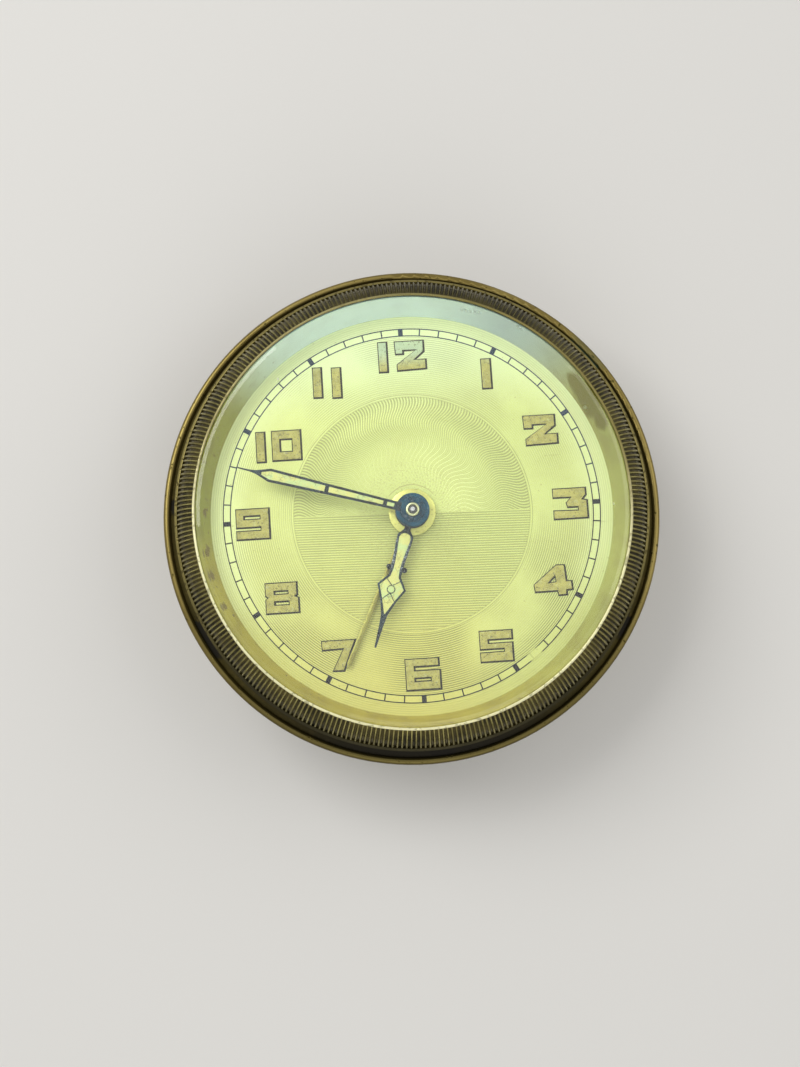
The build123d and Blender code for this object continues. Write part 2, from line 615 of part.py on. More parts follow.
def make_bezel():
    """Pressed ring over the neck: bright base edge, domed slope and a thin lip over the glass."""
    base_z = DIAL_TOP + SHOULDER_HEIGHT + SLIDE_FIT
    edge_top = base_z + BEZEL_EDGE_HEIGHT
    slope_start = (BEZEL_BASE_RADIUS - BEZEL_EDGE_STEP, edge_top + SPACING)
    lip_top = GLASS_TOP + BEZEL_LIP_RISE
    slope_end = (GLASS_OPENING + BEZEL_LIP_WIDTH, lip_top - SPACING)
    across = (slope_end[0] - slope_start[0], slope_end[1] - slope_start[1])
    length = math.hypot(*across)
    crown = (
        (slope_start[0] + slope_end[0]) / 2 + BEZEL_CROWN * across[1] / length,
        (slope_start[1] + slope_end[1]) / 2 - BEZEL_CROWN * across[0] / length,
    )
    start = (BEZEL_BORE, base_z)
    outside = [start, (BEZEL_BASE_RADIUS, base_z), (BEZEL_BASE_RADIUS, edge_top), slope_start]
    inside = [
        slope_end,
        (slope_end[0] - SPACING, lip_top),
        (GLASS_OPENING + SPACING, lip_top),
        (GLASS_OPENING, lip_top - SPACING),
        (GLASS_OPENING, GLASS_TOP),
        (GLASS_RADIUS + SLIDE_FIT - GLASS_BEVEL, GLASS_TOP),
        (GLASS_RADIUS + SLIDE_FIT, GLASS_TOP - GLASS_BEVEL),
        (GLASS_RADIUS + SLIDE_FIT, DIAL_TOP + NECK_TOP + SLIDE_FIT),
        (BEZEL_BORE, DIAL_TOP + NECK_TOP + SLIDE_FIT),
        start,
    ]
    edges = list(Polyline(*outside).edges())
    edges.append(ThreePointArc(slope_start, crown, slope_end))
    edges += list(Polyline(*inside).edges())
    return turned_edges(edges)


def make_glass():
    """Flat glass whose upper edge is bevelled to lie under the slope of the bezel."""
    return turned([
        (0, GLASS_Z), (GLASS_RADIUS, GLASS_Z), (GLASS_RADIUS, GLASS_TOP - GLASS_BEVEL),
        (GLASS_RADIUS - GLASS_BEVEL, GLASS_TOP), (0, GLASS_TOP),
    ])


def make_cone_ring():
    """Thin brass cone from the dial's edge up to the glass, with a flat rim under the glass."""
    foot = DIAL_RADIUS - CONE_FOOT_STEP
    rim = GLASS_RADIUS
    return turned([
        (foot, DIAL_TOP),
        (foot + CONE_SHEET, DIAL_TOP),
        (GLASS_OPENING + CONE_SHEET, GLASS_Z - CONE_SHEET),
        (rim, GLASS_Z - CONE_SHEET),
        (rim, GLASS_Z),
        (GLASS_OPENING, GLASS_Z),
    ])


def make_dial():
    """Thin disc with a centre hole and the feet that hold it in the front plate."""
    dial = tube(DIAL_RADIUS, ALARM_PIPE_RADIUS + 2 * HOLE_CLEARANCE, DIAL_Z, DIAL_TOP)
    for turn in DIAL_FOOT_DIRECTIONS:
        dial += rod(DIAL_FOOT_RADIUS, FRONT_Z, DIAL_Z, polar(DIAL_FOOT_CIRCLE, turn))
    return dial


def make_front_plate():
    """Round plate held against the case ledge, bored for every arbor."""
    plate = rod(FRONT_PLATE_RADIUS, FRONT_Z, FRONT_TOP)
    holes = [(place, PIVOT_RADIUS + PIVOT_FIT) for place in (THIRD, FOURTH, ESCAPE, PALLET, VERGE, HAMMER)]
    holes += [(place, BARREL_PIVOT_RADIUS + PIVOT_FIT) for place in (TIME_BARREL, ALARM_BARREL)]
    holes += [(place, SETTER_RADIUS + PIVOT_FIT) for place in (HAND_SETTER, ALARM_SETTER)]
    holes += [(place, PILLAR_TENON_RADIUS) for place in PILLARS]
    holes += [(polar(DIAL_FOOT_CIRCLE, turn), DIAL_FOOT_RADIUS) for turn in DIAL_FOOT_DIRECTIONS]
    holes += [(CENTRE, CENTRE_PIN_RADIUS + PIVOT_FIT), (BALANCE, BALANCE_SCREW_RADIUS)]
    for place, radius in holes:
        plate -= rod(radius, FRONT_Z - OVERRUN, FRONT_TOP + OVERRUN, place)
    return plate + rod(MINUTE_POST_RADIUS, FRONT_TOP, MINUTE_POST_TOP, MINUTE_WHEEL)


def make_back_plate():
    """Rear plate with the arbor holes, the lever slots and the hairspring's stud."""
    plate = rod(REAR_PLATE_RADIUS, REAR_Z, REAR_TOP)
    pivots = (CENTRE, THIRD, FOURTH, ESCAPE, PALLET, VERGE, HAMMER)
    holes = [(place, PIVOT_RADIUS + PIVOT_FIT) for place in pivots]
    holes += [(place, BARREL_ARBOR_RADIUS + PIVOT_FIT) for place in (TIME_BARREL, ALARM_BARREL)]
    holes += [(place, SETTER_RADIUS + PIVOT_FIT) for place in (HAND_SETTER, ALARM_SETTER)]
    holes += [(place, PILLAR_TENON_RADIUS) for place in PILLARS]
    holes += [(place, CLICK_PIVOT_RADIUS) for place in (*CLICKS.values(), STOP_PIVOT)]
    holes += [(BALANCE, BALANCE_SCREW_RADIUS)]
    for place, radius in holes:
        plate -= rod(radius, REAR_Z - OVERRUN, REAR_TOP + OVERRUN, place)
    pin_slot = HAIRSPRING_THICKNESS / 2 + CURB_PIN_GAP + 2 * REGULATOR_PIN_RADIUS + HOLE_CLEARANCE
    pin_turn = math.degrees((REGULATOR_PIN_RADIUS + HOLE_CLEARANCE) / CURBED_COIL_RADIUS)
    margin = REGULATOR_SWING + pin_turn
    plate -= sector(
        CURBED_COIL_RADIUS - pin_slot, CURBED_COIL_RADIUS + pin_slot, REGULATOR_DIRECTION - margin,
        REGULATOR_DIRECTION + margin, REAR_Z - OVERRUN, REAR_TOP + OVERRUN, BALANCE,
    )
    finger = STOP_FINGER_RADIUS + HOLE_CLEARANCE
    reach = math.degrees(finger / STOP_FINGER_REACH)
    plate -= sector(
        STOP_FINGER_REACH - finger, STOP_FINGER_REACH + finger,
        STOP_FINGER_DIRECTION - STOP_SWING - reach, STOP_FINGER_DIRECTION + reach,
        REAR_Z - OVERRUN, REAR_TOP + OVERRUN, STOP_PIVOT,
    )
    stud = rod(STUD_RADIUS, REAR_TOP, HAIRSPRING_Z + HAIRSPRING_HEIGHT, HAIRSPRING_STUD)
    return plate + stud


def make_pillars():
    """Turned pillars with a tenon in each plate, bored at the rear for the cover screws."""
    pillars = []
    for place in PILLARS:
        pillar = rod(PILLAR_RADIUS, REAR_TOP, FRONT_Z, place)
        pillar += rod(PILLAR_TENON_RADIUS, COVER_TOP + SPACING, FRONT_TOP, place)
        depth = COVER_Z - COVER_SCREW_HEAD + COVER_SCREW_LENGTH
        pillars.append(pillar - rod(COVER_SCREW_RADIUS, COVER_TOP, depth, place))
    return Compound(children=pillars)


def make_pillar_nuts():
    """Hexagonal nuts between the rear plate and the cover."""
    nuts = []
    for place in PILLARS:
        corners = [polar(NUT_RADIUS, 60 * corner, place) for corner in range(6)]
        nut = slab(corners, COVER_TOP, REAR_Z)
        nuts.append(nut - rod(PILLAR_TENON_RADIUS, COVER_TOP - OVERRUN, REAR_Z + OVERRUN, place))
    return Compound(children=nuts)


def make_barrel(teeth, centre, partner):
    """Going barrel: toothed floor and drum in one piece, open at the front for its lid."""
    towards = direction(centre, partner)
    floor = toothed(teeth, BARREL_MODULE, WHEEL_TOOTH, GREAT_Z, BARREL_Z, centre, towards)
    drum = barrel_drum_radius(teeth)
    barrel = floor + tube(drum, drum - BARREL_WALL, BARREL_Z, BARREL_TOP, centre)
    return barrel - rod(BARREL_ARBOR_RADIUS + PIVOT_FIT, GREAT_Z - OVERRUN, BARREL_Z + OVERRUN, centre)


def barrel_drum_radius(teeth):
    """Outer radius of the drum that stands on a great wheel."""
    return teeth * BARREL_MODULE / 2 - BARREL_SHOULDER


def make_barrel_lid(teeth, centre):
    """Thin disc that closes the barrel."""
    drum = barrel_drum_radius(teeth)
    return tube(drum, BARREL_ARBOR_RADIUS + PIVOT_FIT, BARREL_TOP, BARREL_TOP + BARREL_LID, centre)


def make_mainspring(teeth, centre, turns):
    """Steel strip wound from the barrel's wall to the arbor's core."""
    outer = barrel_drum_radius(teeth) - BARREL_WALL - MAINSPRING_THICKNESS / 2 - PIVOT_FIT
    inner = BARREL_CORE_RADIUS + MAINSPRING_THICKNESS + SPACING
    return spiral(
        centre, inner, outer, turns, MAINSPRING_THICKNESS, BARREL_Z + SPACING, BARREL_TOP - SPACING, 0,
    )


def make_barrel_arbor(centre):
    """Winding arbor: core inside the barrel, front pivot, and a long rear end for ratchet and key."""
    shaft = rod(BARREL_ARBOR_RADIUS, KEY_CLEAR_OF_TABLE + KEY_WING_HEIGHT, FRONT_Z - SPACING, centre)
    shaft += rod(BARREL_CORE_RADIUS, BARREL_Z + SPACING, BARREL_TOP - SPACING, centre)
    return shaft + rod(BARREL_PIVOT_RADIUS, FRONT_Z - SPACING, FRONT_TOP - SPACING, centre)


def make_ratchet_wheel(centre, click_direction):
    """Saw-toothed wheel on the winding arbor, with a steep face just ahead of the click's tip."""
    phase = click_direction + CLICK_LEAD
    bottom = RATCHET_Z
    top = RATCHET_Z + RATCHET_THICKNESS
    points = []
    for tooth in range(RATCHET_TEETH):
        steep = phase + tooth * 360 / RATCHET_TEETH
        points.append(polar(RATCHET_RADIUS - RATCHET_DEPTH, steep, centre))
        points.append(polar(RATCHET_RADIUS, steep, centre))
    wheel = slab(points, bottom, top)
    return wheel - rod(BARREL_ARBOR_RADIUS, bottom - OVERRUN, top + OVERRUN, centre)


def make_click(centre, click_direction, pivot):
    """Pawl on its shoulder screw, its tip in a gap of the ratchet wheel."""
    tip = click_direction + CLICK_LEAD
    root = RATCHET_RADIUS - RATCHET_DEPTH
    side = CLICK_EYE_RADIUS * 0.8
    points = [
        polar(root + SPACING, tip - CLICK_TIP_TURN, centre),
        polar(RATCHET_RADIUS + 2 * SPACING, tip - CLICK_NOSE_TURN, centre),
        polar(RATCHET_RADIUS + 3 * SPACING, tip - CLICK_HEEL_TURN, centre),
        polar(side, click_direction + 180, pivot),
        polar(side, click_direction, pivot),
        polar(RATCHET_RADIUS + CLICK_NOSE_HEIGHT, tip - CLICK_NOSE_TURN, centre),
        polar(RATCHET_RADIUS + CLICK_TIP_HEIGHT, tip - CLICK_TIP_TURN, centre),
    ]
    bottom = RATCHET_Z
    top = RATCHET_Z + RATCHET_THICKNESS
    pawl = slab(points, bottom, top) + rod(CLICK_EYE_RADIUS, bottom, top, pivot)
    return pawl - rod(CLICK_PIVOT_RADIUS + PIVOT_FIT, bottom - OVERRUN, top + OVERRUN, pivot)


def make_click_springs():
    """Curved leaf springs behind the two clicks, each on a foot against the rear plate."""
    springs = []
    for centre, towards in ((TIME_BARREL, TIME_CLICK_DIRECTION), (ALARM_BARREL, ALARM_CLICK_DIRECTION)):
        inner = CLICK_REACH + 2 * SPACING
        outer = inner + CLICK_SPRING_THICKNESS
        start = towards + CLICK_SPRING_START
        end = start + CLICK_SPRING_TURN
        leaf = sector(inner, outer, start, end, RATCHET_Z, REAR_Z - SPACING, centre)
        foot = sector(
            inner - CLICK_FOOT_MARGIN, outer + CLICK_FOOT_MARGIN, end - CLICK_TIP_TURN, end + CLICK_FOOT_TURN,
            RATCHET_Z, REAR_Z, centre,
        )
        springs.append(leaf + foot)
    return Compound(children=springs)


def make_shoulder_screws():
    """Headed screws that the clicks and the stop lever turn on."""
    screws = []
    for place in (*CLICKS.values(), STOP_PIVOT):
        head_z = RATCHET_Z - SPACING - LEVER_THICKNESS
        screw = rod(CLICK_PIVOT_RADIUS, head_z, REAR_TOP, place)
        screw += rod(CLICK_EYE_RADIUS, head_z, RATCHET_Z - SPACING, place)
        slot = Box(3 * CLICK_EYE_RADIUS, SCREW_SLOT_WIDTH, SCREW_SLOT_DEPTH)
        screws.append(screw - Pos(*place, head_z) * slot)
    return Compound(children=screws)


def make_winding_key(centre, turn):
    """Key with a round hub and two flat rounded wings, inside the rear rim."""
    low = KEY_CLEAR_OF_TABLE
    high = low + KEY_WING_HEIGHT
    round_off = KEY_WING_HEIGHT / 2 - SPACING
    half = make_face(FilletPolyline(
        (-KEY_WING_REACH, low), (KEY_WING_REACH, low), (KEY_WING_REACH, high), (-KEY_WING_REACH, high),
        radius=round_off, close=True,
    ))
    wings = extrude(Plane.XZ * half, amount=KEY_WING_THICKNESS / 2, both=True)
    hub_top = COVER_Z - SPACING
    hub = rod(KEY_HUB_RADIUS, low + KEY_WING_HEIGHT / 2, hub_top)
    key = wings + hub - rod(BARREL_ARBOR_RADIUS, high, hub_top + OVERRUN)
    return Pos(*centre, 0) * Rot(0, 0, turn) * key


def make_knob(centre):
    """Small knurled knob on the end of a setting arbor."""
    top = COVER_Z - KNOB_COVER_GAP
    bottom = top - KNOB_HEIGHT
    points = []
    for flute in range(2 * KNOB_FLUTES):
        radius = KNOB_RADIUS - KNOB_FLUTE_DEPTH * (flute % 2)
        points.append(polar(radius, flute * 180 / KNOB_FLUTES, centre))
    knob = slab(points, bottom, top)
    return knob - rod(SETTER_RADIUS, bottom + KNOB_HEIGHT / 2, top + OVERRUN, centre)


def make_setter(centre, leaves, partner, leaf_bottom, leaf_top):
    """Long arbor from a rear knob to a pinion in front of the front plate."""
    knob_bottom = COVER_Z - KNOB_COVER_GAP - KNOB_HEIGHT / 2
    shaft = rod(SETTER_RADIUS, knob_bottom, leaf_top, centre)
    return shaft + pinion(leaves, MOTION_MODULE, leaf_bottom, leaf_top, centre, partner)


def make_centre_arbor():
    """Centre arbor: pinion driven by the barrel, and the long steel pin that reaches the hands."""
    leaf_top = BARREL_Z + LEAF_OVERHANG
    shaft = rod(ARBOR_RADIUS, REAR_TOP + SPACING, FRONT_Z - SPACING)
    shaft += rod(PIVOT_RADIUS, REAR_Z + SPACING, REAR_TOP + SPACING)
    shaft += rod(CENTRE_PIN_RADIUS, FRONT_Z - SPACING, HUB_TOP + COLLET_HEIGHT + PIN_STAND)
    leaves = pinion(CENTRE_LEAVES, BARREL_MODULE, GREAT_Z - SPACING, leaf_top, CENTRE, TIME_BARREL)
    return shaft + leaves


def make_pinion_arbor(centre, leaves, module, wheel_z, partner):
    """Arbor between the plates with a pinion that reaches a little past its wheel's faces."""
    low = wheel_z - LEAF_OVERHANG
    high = wheel_z + WHEEL_THICKNESS + LEAF_OVERHANG
    return arbor(centre) + pinion(leaves, module, low, high, centre, partner)


def make_escape_wheel():
    """Escape wheel with slanted pointed teeth."""
    bottom = ESCAPE_WHEEL_Z
    top = bottom + WHEEL_THICKNESS
    wheel = saw_toothed(
        ESCAPE_TEETH, ESCAPE_RADIUS, ESCAPE_TOOTH_DEPTH, ESCAPE_TOOTH_LEAN, bottom, top, ESCAPE, 0,
    )
    return wheel - rod(ARBOR_RADIUS, bottom - OVERRUN, top + OVERRUN, ESCAPE)


def anchor_pins(centre, pivot, tip_radius, swing):
    """Places of two anchor pins that stay just outside a wheel's tips over the whole swing."""
    span = math.dist(centre, pivot)
    reach = math.hypot(span - tip_radius, tip_radius * math.tan(math.radians(PALLET_SPREAD)))
    radius = tip_radius + PALLET_PIN_RADIUS + reach * math.radians(swing) + SPACING
    towards = direction(centre, pivot)
    return [polar(radius, towards + side * PALLET_SPREAD, centre) for side in (-1, 1)]


def make_anchor(centre, pivot, tip_radius, swing, wheel_z):
    """Two bars over a wheel, each with a pin that hangs down beside the wheel's teeth."""
    bar_z = wheel_z + WHEEL_THICKNESS + SPACING
    bar_top = bar_z + PALLET_BAR_THICKNESS
    anchor = rod(2 * ARBOR_RADIUS, bar_z, bar_top, pivot)
    for place in anchor_pins(centre, pivot, tip_radius, swing):
        anchor += bar(pivot, place, PALLET_BAR_WIDTH, bar_z, bar_top)
        anchor += rod(PALLET_PIN_RADIUS, wheel_z - SPACING, bar_z, place)
    return anchor


def make_pallet_lever():
    """Pin lever: anchor, arbor and the forked arm towards the balance."""
    lever = make_anchor(ESCAPE, PALLET, ESCAPE_RADIUS, PALLET_SWING, ESCAPE_WHEEL_Z)
    towards = direction(PALLET, BALANCE)
    tip_distance = BALANCE_DISTANCE - IMPULSE_PIN_CIRCLE - IMPULSE_PIN_RADIUS - FORK_GAP
    root = polar(tip_distance - FORK_WIDTH / 2, towards, PALLET)
    top = PALLET_BAR_Z + PALLET_BAR_THICKNESS
    lever += bar(PALLET, root, PALLET_BAR_WIDTH, PALLET_BAR_Z, top)
    fork = Box(FORK_WIDTH, FORK_WIDTH, PALLET_BAR_THICKNESS)
    fork -= Pos(FORK_WIDTH / 2, 0, 0) * Box(FORK_WIDTH, FORK_SLOT, 2)
    middle = (PALLET_BAR_Z + top) / 2
    lever += Pos(*root, middle) * Rot(0, 0, towards) * fork
    return lever + arbor(PALLET)


def make_balance_wheel():
    """Balance: a plain rim on two spokes."""
    bottom = BALANCE_RIM_Z
    top = bottom + BALANCE_RIM_THICKNESS
    inner = BALANCE_RADIUS - BALANCE_RIM_WIDTH
    wheel = tube(BALANCE_RADIUS, inner, bottom, top, BALANCE)
    middle = (bottom + top) / 2
    spokes = Box(2 * inner + BALANCE_RIM_WIDTH, SPOKE_WIDTH, WHEEL_THICKNESS)
    wheel += Pos(*BALANCE, middle) * Rot(0, 0, BALANCE_DIRECTION) * spokes
    wheel += rod(2 * ARBOR_RADIUS, middle - WHEEL_THICKNESS, middle + WHEEL_THICKNESS, BALANCE)
    return wheel - rod(BALANCE_STAFF_RADIUS, bottom - OVERRUN, top + OVERRUN, BALANCE)


def make_balance_staff():
    """Staff with the hairspring's collet, the roller and its impulse pin, pivoted in the two screws."""
    low = BALANCE_SCREW_TOP + SPACING
    high = FRONT_SCREW_Z - SPACING
    staff = rod(BALANCE_STAFF_RADIUS, low, high, BALANCE)
    staff += rod(PIVOT_RADIUS, low - BALANCE_PIVOT, high + BALANCE_PIVOT, BALANCE)
    collet = HAIRSPRING_INNER - HAIRSPRING_THICKNESS / 2 - SPACING
    staff += rod(collet, HAIRSPRING_Z, HAIRSPRING_Z + HAIRSPRING_HEIGHT, BALANCE)
    roller_z = PALLET_BAR_Z - SPACING - ROLLER_THICKNESS
    staff += rod(ROLLER_RADIUS, roller_z, roller_z + ROLLER_THICKNESS, BALANCE)
    pin = polar(IMPULSE_PIN_CIRCLE, direction(BALANCE, PALLET), BALANCE)
    return staff + rod(IMPULSE_PIN_RADIUS, roller_z, PALLET_BAR_Z + PALLET_BAR_THICKNESS, pin)


def make_balance_screws():
    """The two bored screws in the plates that the balance staff runs in."""
    rear = rod(BALANCE_SCREW_RADIUS, REAR_Z - COVER_SPACE / 2, BALANCE_SCREW_TOP, BALANCE)
    head_z = REAR_Z - COVER_SPACE / 2
    rear += rod(BALANCE_SCREW_HEAD_RADIUS, head_z - LEVER_THICKNESS, head_z, BALANCE)
    front = rod(BALANCE_SCREW_RADIUS, FRONT_SCREW_Z, FRONT_TOP, BALANCE)
    bore = PIVOT_RADIUS + PIVOT_FIT
    rear -= rod(bore, BALANCE_SCREW_TOP - BALANCE_PIVOT, BALANCE_SCREW_TOP + OVERRUN, BALANCE)
    front -= rod(bore, FRONT_SCREW_Z - OVERRUN, FRONT_SCREW_Z + BALANCE_PIVOT, BALANCE)
    return Compound(children=[rear, front])


def make_hairspring():
    """Flat hairspring from the staff's collet to the stud in the rear plate."""
    return spiral(
        BALANCE, HAIRSPRING_INNER, HAIRSPRING_OUTER, HAIRSPRING_TURNS, HAIRSPRING_THICKNESS,
        HAIRSPRING_Z, HAIRSPRING_Z + HAIRSPRING_HEIGHT, HAIRSPRING_START,
    )


def make_regulator():
    """Regulator arm round the rear balance screw, with curb pins and a button through the cover."""
    bottom = REAR_Z - SPACING - LEVER_THICKNESS
    top = bottom + LEVER_THICKNESS
    end = polar(REGULATOR_REACH, REGULATOR_DIRECTION, BALANCE)
    arm = rod(REGULATOR_EYE_RADIUS, bottom, top, BALANCE) + bar(BALANCE, end, LEVER_WIDTH, bottom, top)
    arm -= rod(BALANCE_SCREW_RADIUS + PIVOT_FIT, bottom - OVERRUN, top + OVERRUN, BALANCE)
    pin_offset = HAIRSPRING_THICKNESS / 2 + REGULATOR_PIN_RADIUS + CURB_PIN_GAP
    for side in (-1, 1):
        pin = polar(CURBED_COIL_RADIUS + side * pin_offset, REGULATOR_DIRECTION, BALANCE)
        arm += rod(REGULATOR_PIN_RADIUS, bottom, HAIRSPRING_Z + HAIRSPRING_HEIGHT, pin)
    return arm + lever_button(end, bottom)


def lever_button(place, lever_z):
    """Pin through the back cover with a small round button on its end."""
    button_top = COVER_Z - SPACING * 2
    pin = rod(LEVER_PIN_RADIUS, button_top, lever_z, place)
    return pin + rod(LEVER_BUTTON_RADIUS, button_top - LEVER_BUTTON_HEIGHT, button_top, place)


def make_stop_lever():
    """Alarm stop: a lever on the rear plate with a button outside and a finger beside the hammer."""
    bottom = REAR_Z - SPACING - LEVER_THICKNESS
    top = bottom + LEVER_THICKNESS
    button = polar(STOP_BUTTON_REACH, STOP_BUTTON_DIRECTION, STOP_PIVOT)
    lever = bar(STOP_PIVOT, STOP_FINGER, LEVER_WIDTH, bottom, top)
    lever += bar(STOP_PIVOT, button, LEVER_WIDTH, bottom, top)
    lever += rod(2 * CLICK_PIVOT_RADIUS, bottom, top, STOP_PIVOT)
    lever += rod(STOP_FINGER_RADIUS, bottom, HAMMER_ARM_Z + HAMMER_ARM_THICKNESS, STOP_FINGER)
    lever += lever_button(button, bottom)
    return lever - rod(CLICK_PIVOT_RADIUS + PIVOT_FIT, bottom - OVERRUN, top + OVERRUN, STOP_PIVOT)


def make_verge_wheel():
    """Alarm escape wheel and its pinion on one arbor."""
    bottom = VERGE_WHEEL_Z
    wheel = saw_toothed(
        VERGE_TEETH, VERGE_RADIUS, RATCHET_DEPTH, VERGE_TOOTH_LEAN, bottom, bottom + WHEEL_THICKNESS,
        VERGE, 0,
    )
    leaf_top = BARREL_Z + LEAF_OVERHANG
    leaves = pinion(VERGE_LEAVES, BARREL_MODULE, GREAT_Z - SPACING, leaf_top, VERGE, ALARM_BARREL)
    return wheel + leaves + arbor(VERGE)


def make_hammer():
    """Hammer: arbor, anchor over the verge wheel, arm and a heavy round head beside the drum wall."""
    hammer = make_anchor(VERGE, HAMMER, VERGE_RADIUS, HAMMER_SWING, VERGE_WHEEL_Z)
    hammer += arbor(HAMMER)
    top = HAMMER_ARM_Z + HAMMER_ARM_THICKNESS
    hammer += bar(HAMMER, HAMMER_HEAD, HAMMER_ARM_WIDTH, HAMMER_ARM_Z, top)
    middle = (HAMMER_ARM_Z + top) / 2
    half = HAMMER_HEAD_HEIGHT / 2
    return hammer + rod(HAMMER_HEAD_RADIUS, middle - half, middle + half, HAMMER_HEAD)


def make_cannon_pinion():
    """Cannon pinion: leaves above the front plate and a pipe that carries the minute hand."""
    leaf_top = CANNON_Z + 2 * WHEEL_THICKNESS
    cannon = pinion(CANNON_LEAVES, MOTION_MODULE, CANNON_Z, leaf_top, CENTRE, MINUTE_WHEEL)
    cannon += rod(CANNON_PIPE_RADIUS, CANNON_Z, MINUTE_HUB_Z)
    cannon += rod(CANNON_SEAT_RADIUS, MINUTE_HUB_Z, HUB_TOP)
    return cannon - rod(CENTRE_PIN_RADIUS + PIVOT_FIT, CANNON_Z - OVERRUN, HUB_TOP + OVERRUN)


def make_minute_wheel():
    """Minute wheel with its pinion, on a post of the front plate."""
    bottom = MINUTE_WHEEL_Z
    top = bottom + WHEEL_THICKNESS
    towards = direction(MINUTE_WHEEL, CENTRE)
    wheel = toothed(
        MINUTE_TEETH, MOTION_MODULE, WHEEL_TOOTH, bottom, top, MINUTE_WHEEL, towards,
    )
    leaf_top = MINUTE_LEAF_Z + 2 * WHEEL_THICKNESS + SPACING
    wheel += pinion(MINUTE_LEAVES, HOUR_MODULE, top, leaf_top, MINUTE_WHEEL, CENTRE)
    return wheel - rod(MINUTE_POST_RADIUS + PIVOT_FIT, bottom - OVERRUN, leaf_top + OVERRUN, MINUTE_WHEEL)


def make_hour_wheel():
    """Hour wheel with the pipe that carries the hour hand."""
    bottom = HOUR_WHEEL_Z
    top = bottom + WHEEL_THICKNESS
    towards = direction(CENTRE, MINUTE_WHEEL)
    wheel = toothed(HOUR_TEETH, HOUR_MODULE, WHEEL_TOOTH, bottom, top, CENTRE, towards)
    wheel += rod(HOUR_PIPE_RADIUS, bottom, HOUR_HAND_Z + HUB_THICKNESS / 2)
    return wheel - rod(CANNON_PIPE_RADIUS + PIVOT_FIT, bottom - OVERRUN, HOUR_HAND_Z + OVERRUN)


def make_alarm_wheel():
    """Alarm wheel on the outermost pipe, with the notched boss that lets the alarm off."""
    bottom = ALARM_WHEEL_Z
    top = bottom + WHEEL_THICKNESS
    towards = direction(CENTRE, ALARM_SETTER)
    wheel = toothed(ALARM_SET_TEETH, MOTION_MODULE, WHEEL_TOOTH, bottom, top, CENTRE, towards)
    wheel += rod(ALARM_PIPE_RADIUS, bottom, ALARM_HAND_Z + HUB_THICKNESS / 2)
    wheel -= rod(HOUR_PIPE_RADIUS + PIVOT_FIT, bottom - OVERRUN, ALARM_HAND_Z + OVERRUN)
    return lightened(wheel, bottom, top)


def lightened(wheel, bottom, top):
    """Round openings that lighten the alarm wheel."""
    middle = ALARM_SET_TEETH * MOTION_MODULE / 4 + 2 * HOLE_CLEARANCE
    for hole in range(ALARM_WHEEL_HOLES):
        place = polar(middle, 360 * hole / ALARM_WHEEL_HOLES)
        wheel -= rod(ALARM_WHEEL_HOLE_RADIUS, bottom - OVERRUN, top + OVERRUN, place)
    return wheel


def make_release_spring():
    """Forked leaf under the hour wheel that lifts it into the alarm wheel's notch."""
    blade_z = CANNON_Z + 2 * WHEEL_THICKNESS + SPACING
    blade_top = blade_z + 2 * SPACING
    foot_y = RELEASE_FOOT_DISTANCE
    foot = Box(RELEASE_FOOT_SIZE, RELEASE_FOOT_SIZE, blade_top - FRONT_TOP)
    foot = Pos(0, foot_y, (FRONT_TOP + blade_top) / 2) * foot
    half = RELEASE_BLADE_WIDTH / 2
    end = RELEASE_FORK_RADIUS - RELEASE_FORK_WIDTH / 2
    blade = slab([(-half, foot_y), (half, foot_y), (half, end), (-half, end)], blade_z, blade_top)
    fork = sector(RELEASE_FORK_RADIUS - RELEASE_FORK_WIDTH, RELEASE_FORK_RADIUS, 0, 180, blade_z, blade_top)
    return foot + blade + fork


def outline_points(outline):
    """Full outline from (half width, distance) points of its right side."""
    return [(half, reach) for half, reach in outline] + [(-half, reach) for half, reach in reversed(outline)]


def pointing(piece, angle):
    """Turns a hand drawn towards 12 clockwise by its angle."""
    return Rot(0, 0, -angle) * piece


def make_hand(outline, window, bars, hub_radius, bore, level):
    """A hand drawn towards 12: hub, framed blade with its bars, all bored for its pipe."""
    top = level + HAND_THICKNESS
    blade = slab(outline_points(outline), level, top)
    for opening in window:
        blade -= opening
    for crossing in bars:
        blade += crossing
    hub_low = level - (HUB_THICKNESS - HAND_THICKNESS) / 2
    hub = rod(hub_radius, hub_low, hub_low + HUB_THICKNESS)
    return blade + hub - rod(bore, hub_low - OVERRUN, hub_low + HUB_THICKNESS + OVERRUN)


def inset(outline, ends, bottom, top):
    """The space inside a blade's frame, between two distances from the axis and two levels."""
    inner = [(ends[0], width_at(outline, ends[0]))]
    inner += [(reach, half) for half, reach in outline if ends[0] < reach < ends[1]]
    inner.append((ends[1], width_at(outline, ends[1])))
    points = [(max(half - HAND_FRAME, HAND_FRAME / 4), reach) for reach, half in inner]
    return slab(outline_points(points), bottom, top)


def width_at(outline, reach):
    """Half width of an outline at a distance from the axis."""
    for (low_half, low), (high_half, high) in zip(outline, outline[1:]):
        if low <= reach <= high:
            return low_half + (high_half - low_half) * (reach - low) / (high - low)
    return outline[-1][0]


def minute_bars(level, thickness):
    """Crossbars of the minute hand."""
    bars = []
    for reach in MINUTE_BARS:
        half = width_at(MINUTE_OUTLINE, reach)
        bars.append(Pos(0, reach, level + thickness / 2) * Box(2 * half, MINUTE_BAR_WIDTH, thickness))
    return bars


